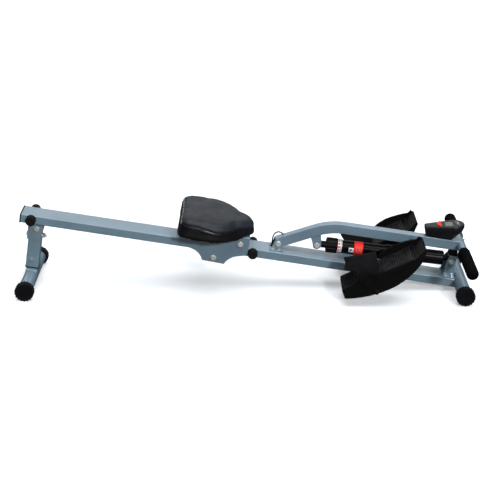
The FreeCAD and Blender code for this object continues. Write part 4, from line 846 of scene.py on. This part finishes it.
# Route from the arm's tail, in metres, and then down through the grommet, in millimetres on the rail.
LEAD_ROUTE = [(0.125, 0.008, 0.155), (0.108, 0.008, 0.172), (0.0925, 0.0072, 0.171), (0.0832, 0.0065, 0.1595)]
LEAD_ENDS = [(80, 6, 18), (80, 6, -4)]
LEAD_RADIUS = 0.002
LEAD_SIDES = 12
SPLINE_STEPS = 16


def spline_points(route):
    """Points along the smooth NURBS line through the route's control points."""
    curve = bpy.data.curves.new("route", "CURVE")
    curve.dimensions = "3D"
    curve.resolution_u = SPLINE_STEPS
    spline = curve.splines.new("NURBS")
    spline.points.add(len(route) - 1)
    for control, point in zip(spline.points, route):
        control.co = (*point, 1)
    spline.order_u = 3
    spline.use_endpoint_u = True
    holder = bpy.data.objects.new("route", curve)
    mesh = bpy.data.meshes.new_from_object(holder)
    points = [v.co.copy() for v in mesh.vertices]
    bpy.data.meshes.remove(mesh)
    bpy.data.objects.remove(holder)
    bpy.data.curves.remove(curve)
    return points


def make_lead():
    """Round lead from the arm's tail into the rail."""
    points = spline_points([Vector(p) for p in LEAD_ROUTE] + [on_rail(*p) for p in LEAD_ENDS])
    across = Vector((0, 1, 0))
    vertices = []
    for i, point in enumerate(points):
        ahead = (points[min(i + 1, len(points) - 1)] - points[max(i - 1, 0)]).normalized()
        side = (across - ahead * across.dot(ahead)).normalized()
        up = ahead.cross(side)
        for k in range(LEAD_SIDES):
            angle = math.tau * k / LEAD_SIDES
            vertices.append(point + (side * math.cos(angle) + up * math.sin(angle)) * LEAD_RADIUS)
    piece = new_piece("lead", vertices, tube_faces(len(points), LEAD_SIDES), paints["lead_jacket"])
    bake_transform(piece)
    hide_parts("sensor_lead")


# ------------------------------------------------------------------ printed marks

# Prints are laid on by aiming at the surface from this far off the damper's axis, in metres.
AIM_FROM = 0.04
PRINT_REACH = 0.05
# A film is a little thinner than the height of its middle above the surface, so that it doesn't touch it.
FILM_SHARE = 0.8
THIN_FILM, RING_FILM, LABEL_FILM, ARROW_FILM = 0.0002, 0.0003, 0.0004, 0.0008


def print_on(name, shapes, target, body, material, lift):
    """Thin printed patches laid on the target; each shape is a grid of points and their inward directions."""
    tree = surface_tree(nodes[target])
    vertices, faces = [], []
    for rows, columns, places in shapes:
        hits = [(tree.ray_cast(point, inward, PRINT_REACH)[0], inward) for point, inward in places]
        if any(point is None for point, _ in hits):
            continue
        base = len(vertices)
        vertices += [point - inward * lift for point, inward in hits]
        faces += [tuple(base + v for v in face) for face in grid_faces(rows, columns)]
    piece = new_piece(name, vertices, faces, material)
    film = piece.modifiers.new("film", "SOLIDIFY")
    film.thickness = lift * FILM_SHARE
    film.offset = 0
    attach(piece, body)


def damper_patch(start, end, low, high, rows=3, columns=5):
    """Grid of places round the damper: millimetres from its rear bolt, degrees from its near side upwards."""
    axis = (DAMPER_FRONT - DAMPER_REAR).normalized()
    up = Vector((-axis.z, 0, axis.x))
    near = Vector((0, -1, 0))
    places = []
    for i in range(rows):
        reach = (start + (end - start) * i / (rows - 1)) / 1000
        for j in range(columns):
            angle = math.radians(low + (high - low) * j / (columns - 1))
            out = near * math.cos(angle) + up * math.sin(angle)
            places.append((DAMPER_REAR + axis * reach + out * AIM_FROM, -out))
    return rows, columns, places


def make_damper_prints():
    """Dashes and ticks on the scale ring, a label with an arrow on the collar, and lines on the red band."""
    body = "damper_cylinder"
    marks = [damper_patch(64.5, 70.0, angle, angle + 15) for angle in range(-75, 90, 27)]
    print_on("scale_marks", marks, "scale_ring", body, paints["damper_red"], RING_FILM)
    ticks = [damper_patch(71.5, 74.5, angle, angle + 4) for angle in range(-80, 90, 9)]
    print_on("scale_ticks", ticks, "scale_ring", body, paints["print_dark"], RING_FILM)
    label = [damper_patch(97.5, 112.5, -27, 17, 5, 9)]
    print_on("collar_label", label, "damper_collar", body, paints["scale_white"], LABEL_FILM)
    arrow = [damper_patch(101.0, 103.5, -18, 6), damper_patch(103.0, 109.0, -6, 6)]
    print_on("label_arrow", arrow, "damper_collar", body, paints["print_dark"], ARROW_FILM)
    lines = [damper_patch(start, start + 0.9, -22, 34, 3, 11) for start in (120.5, 125.5, 130.5, 135.0)]
    print_on("band_lines", lines, "red_band", body, paints["print_pale"], RING_FILM)


# Dashes on the monitor's top, in millimetres: middle of each one's end nearer the seat, then its size along
# and across the machine.
CONSOLE_DASHES = [(638.5, 12, 2.0, 7), (642.5, 8, 2.2, 9), (646.5, 4, 2.0, 7), (641.0, -4, 2.0, 6),
                  (645.5, -9, 2.0, 6)]
# Height, in millimetres, from which they are aimed straight down.
CONSOLE_ABOVE = 230


def make_console_prints():
    down = Vector((0, 0, -1))
    shapes = []
    for x, y, length, width in CONSOLE_DASHES:
        places = []
        for i in range(3):
            for j in range(4):
                spot = millimetres(x + length * i / 2, y + width * (j / 3 - 0.5), CONSOLE_ABOVE)
                places.append((spot, down))
        shapes.append((3, 4, places))
    white = paints["print_white"]
    print_on("console_marks", shapes, "console_upper_case", "arm", white, THIN_FILM)


make_camera()
make_stage()
paints = make_materials()
dress_nodes()
make_lead()
make_stitches(make_cushion())
make_strap("strap_near", "foot_strap_near", "near_pedal", NEAR_LOW_Y, 0.0, True)
make_strap("strap_far", "foot_strap_far", "far_pedal", FAR_LOW_Y, FAR_DROOP, False)
make_damper_prints()
make_console_prints()
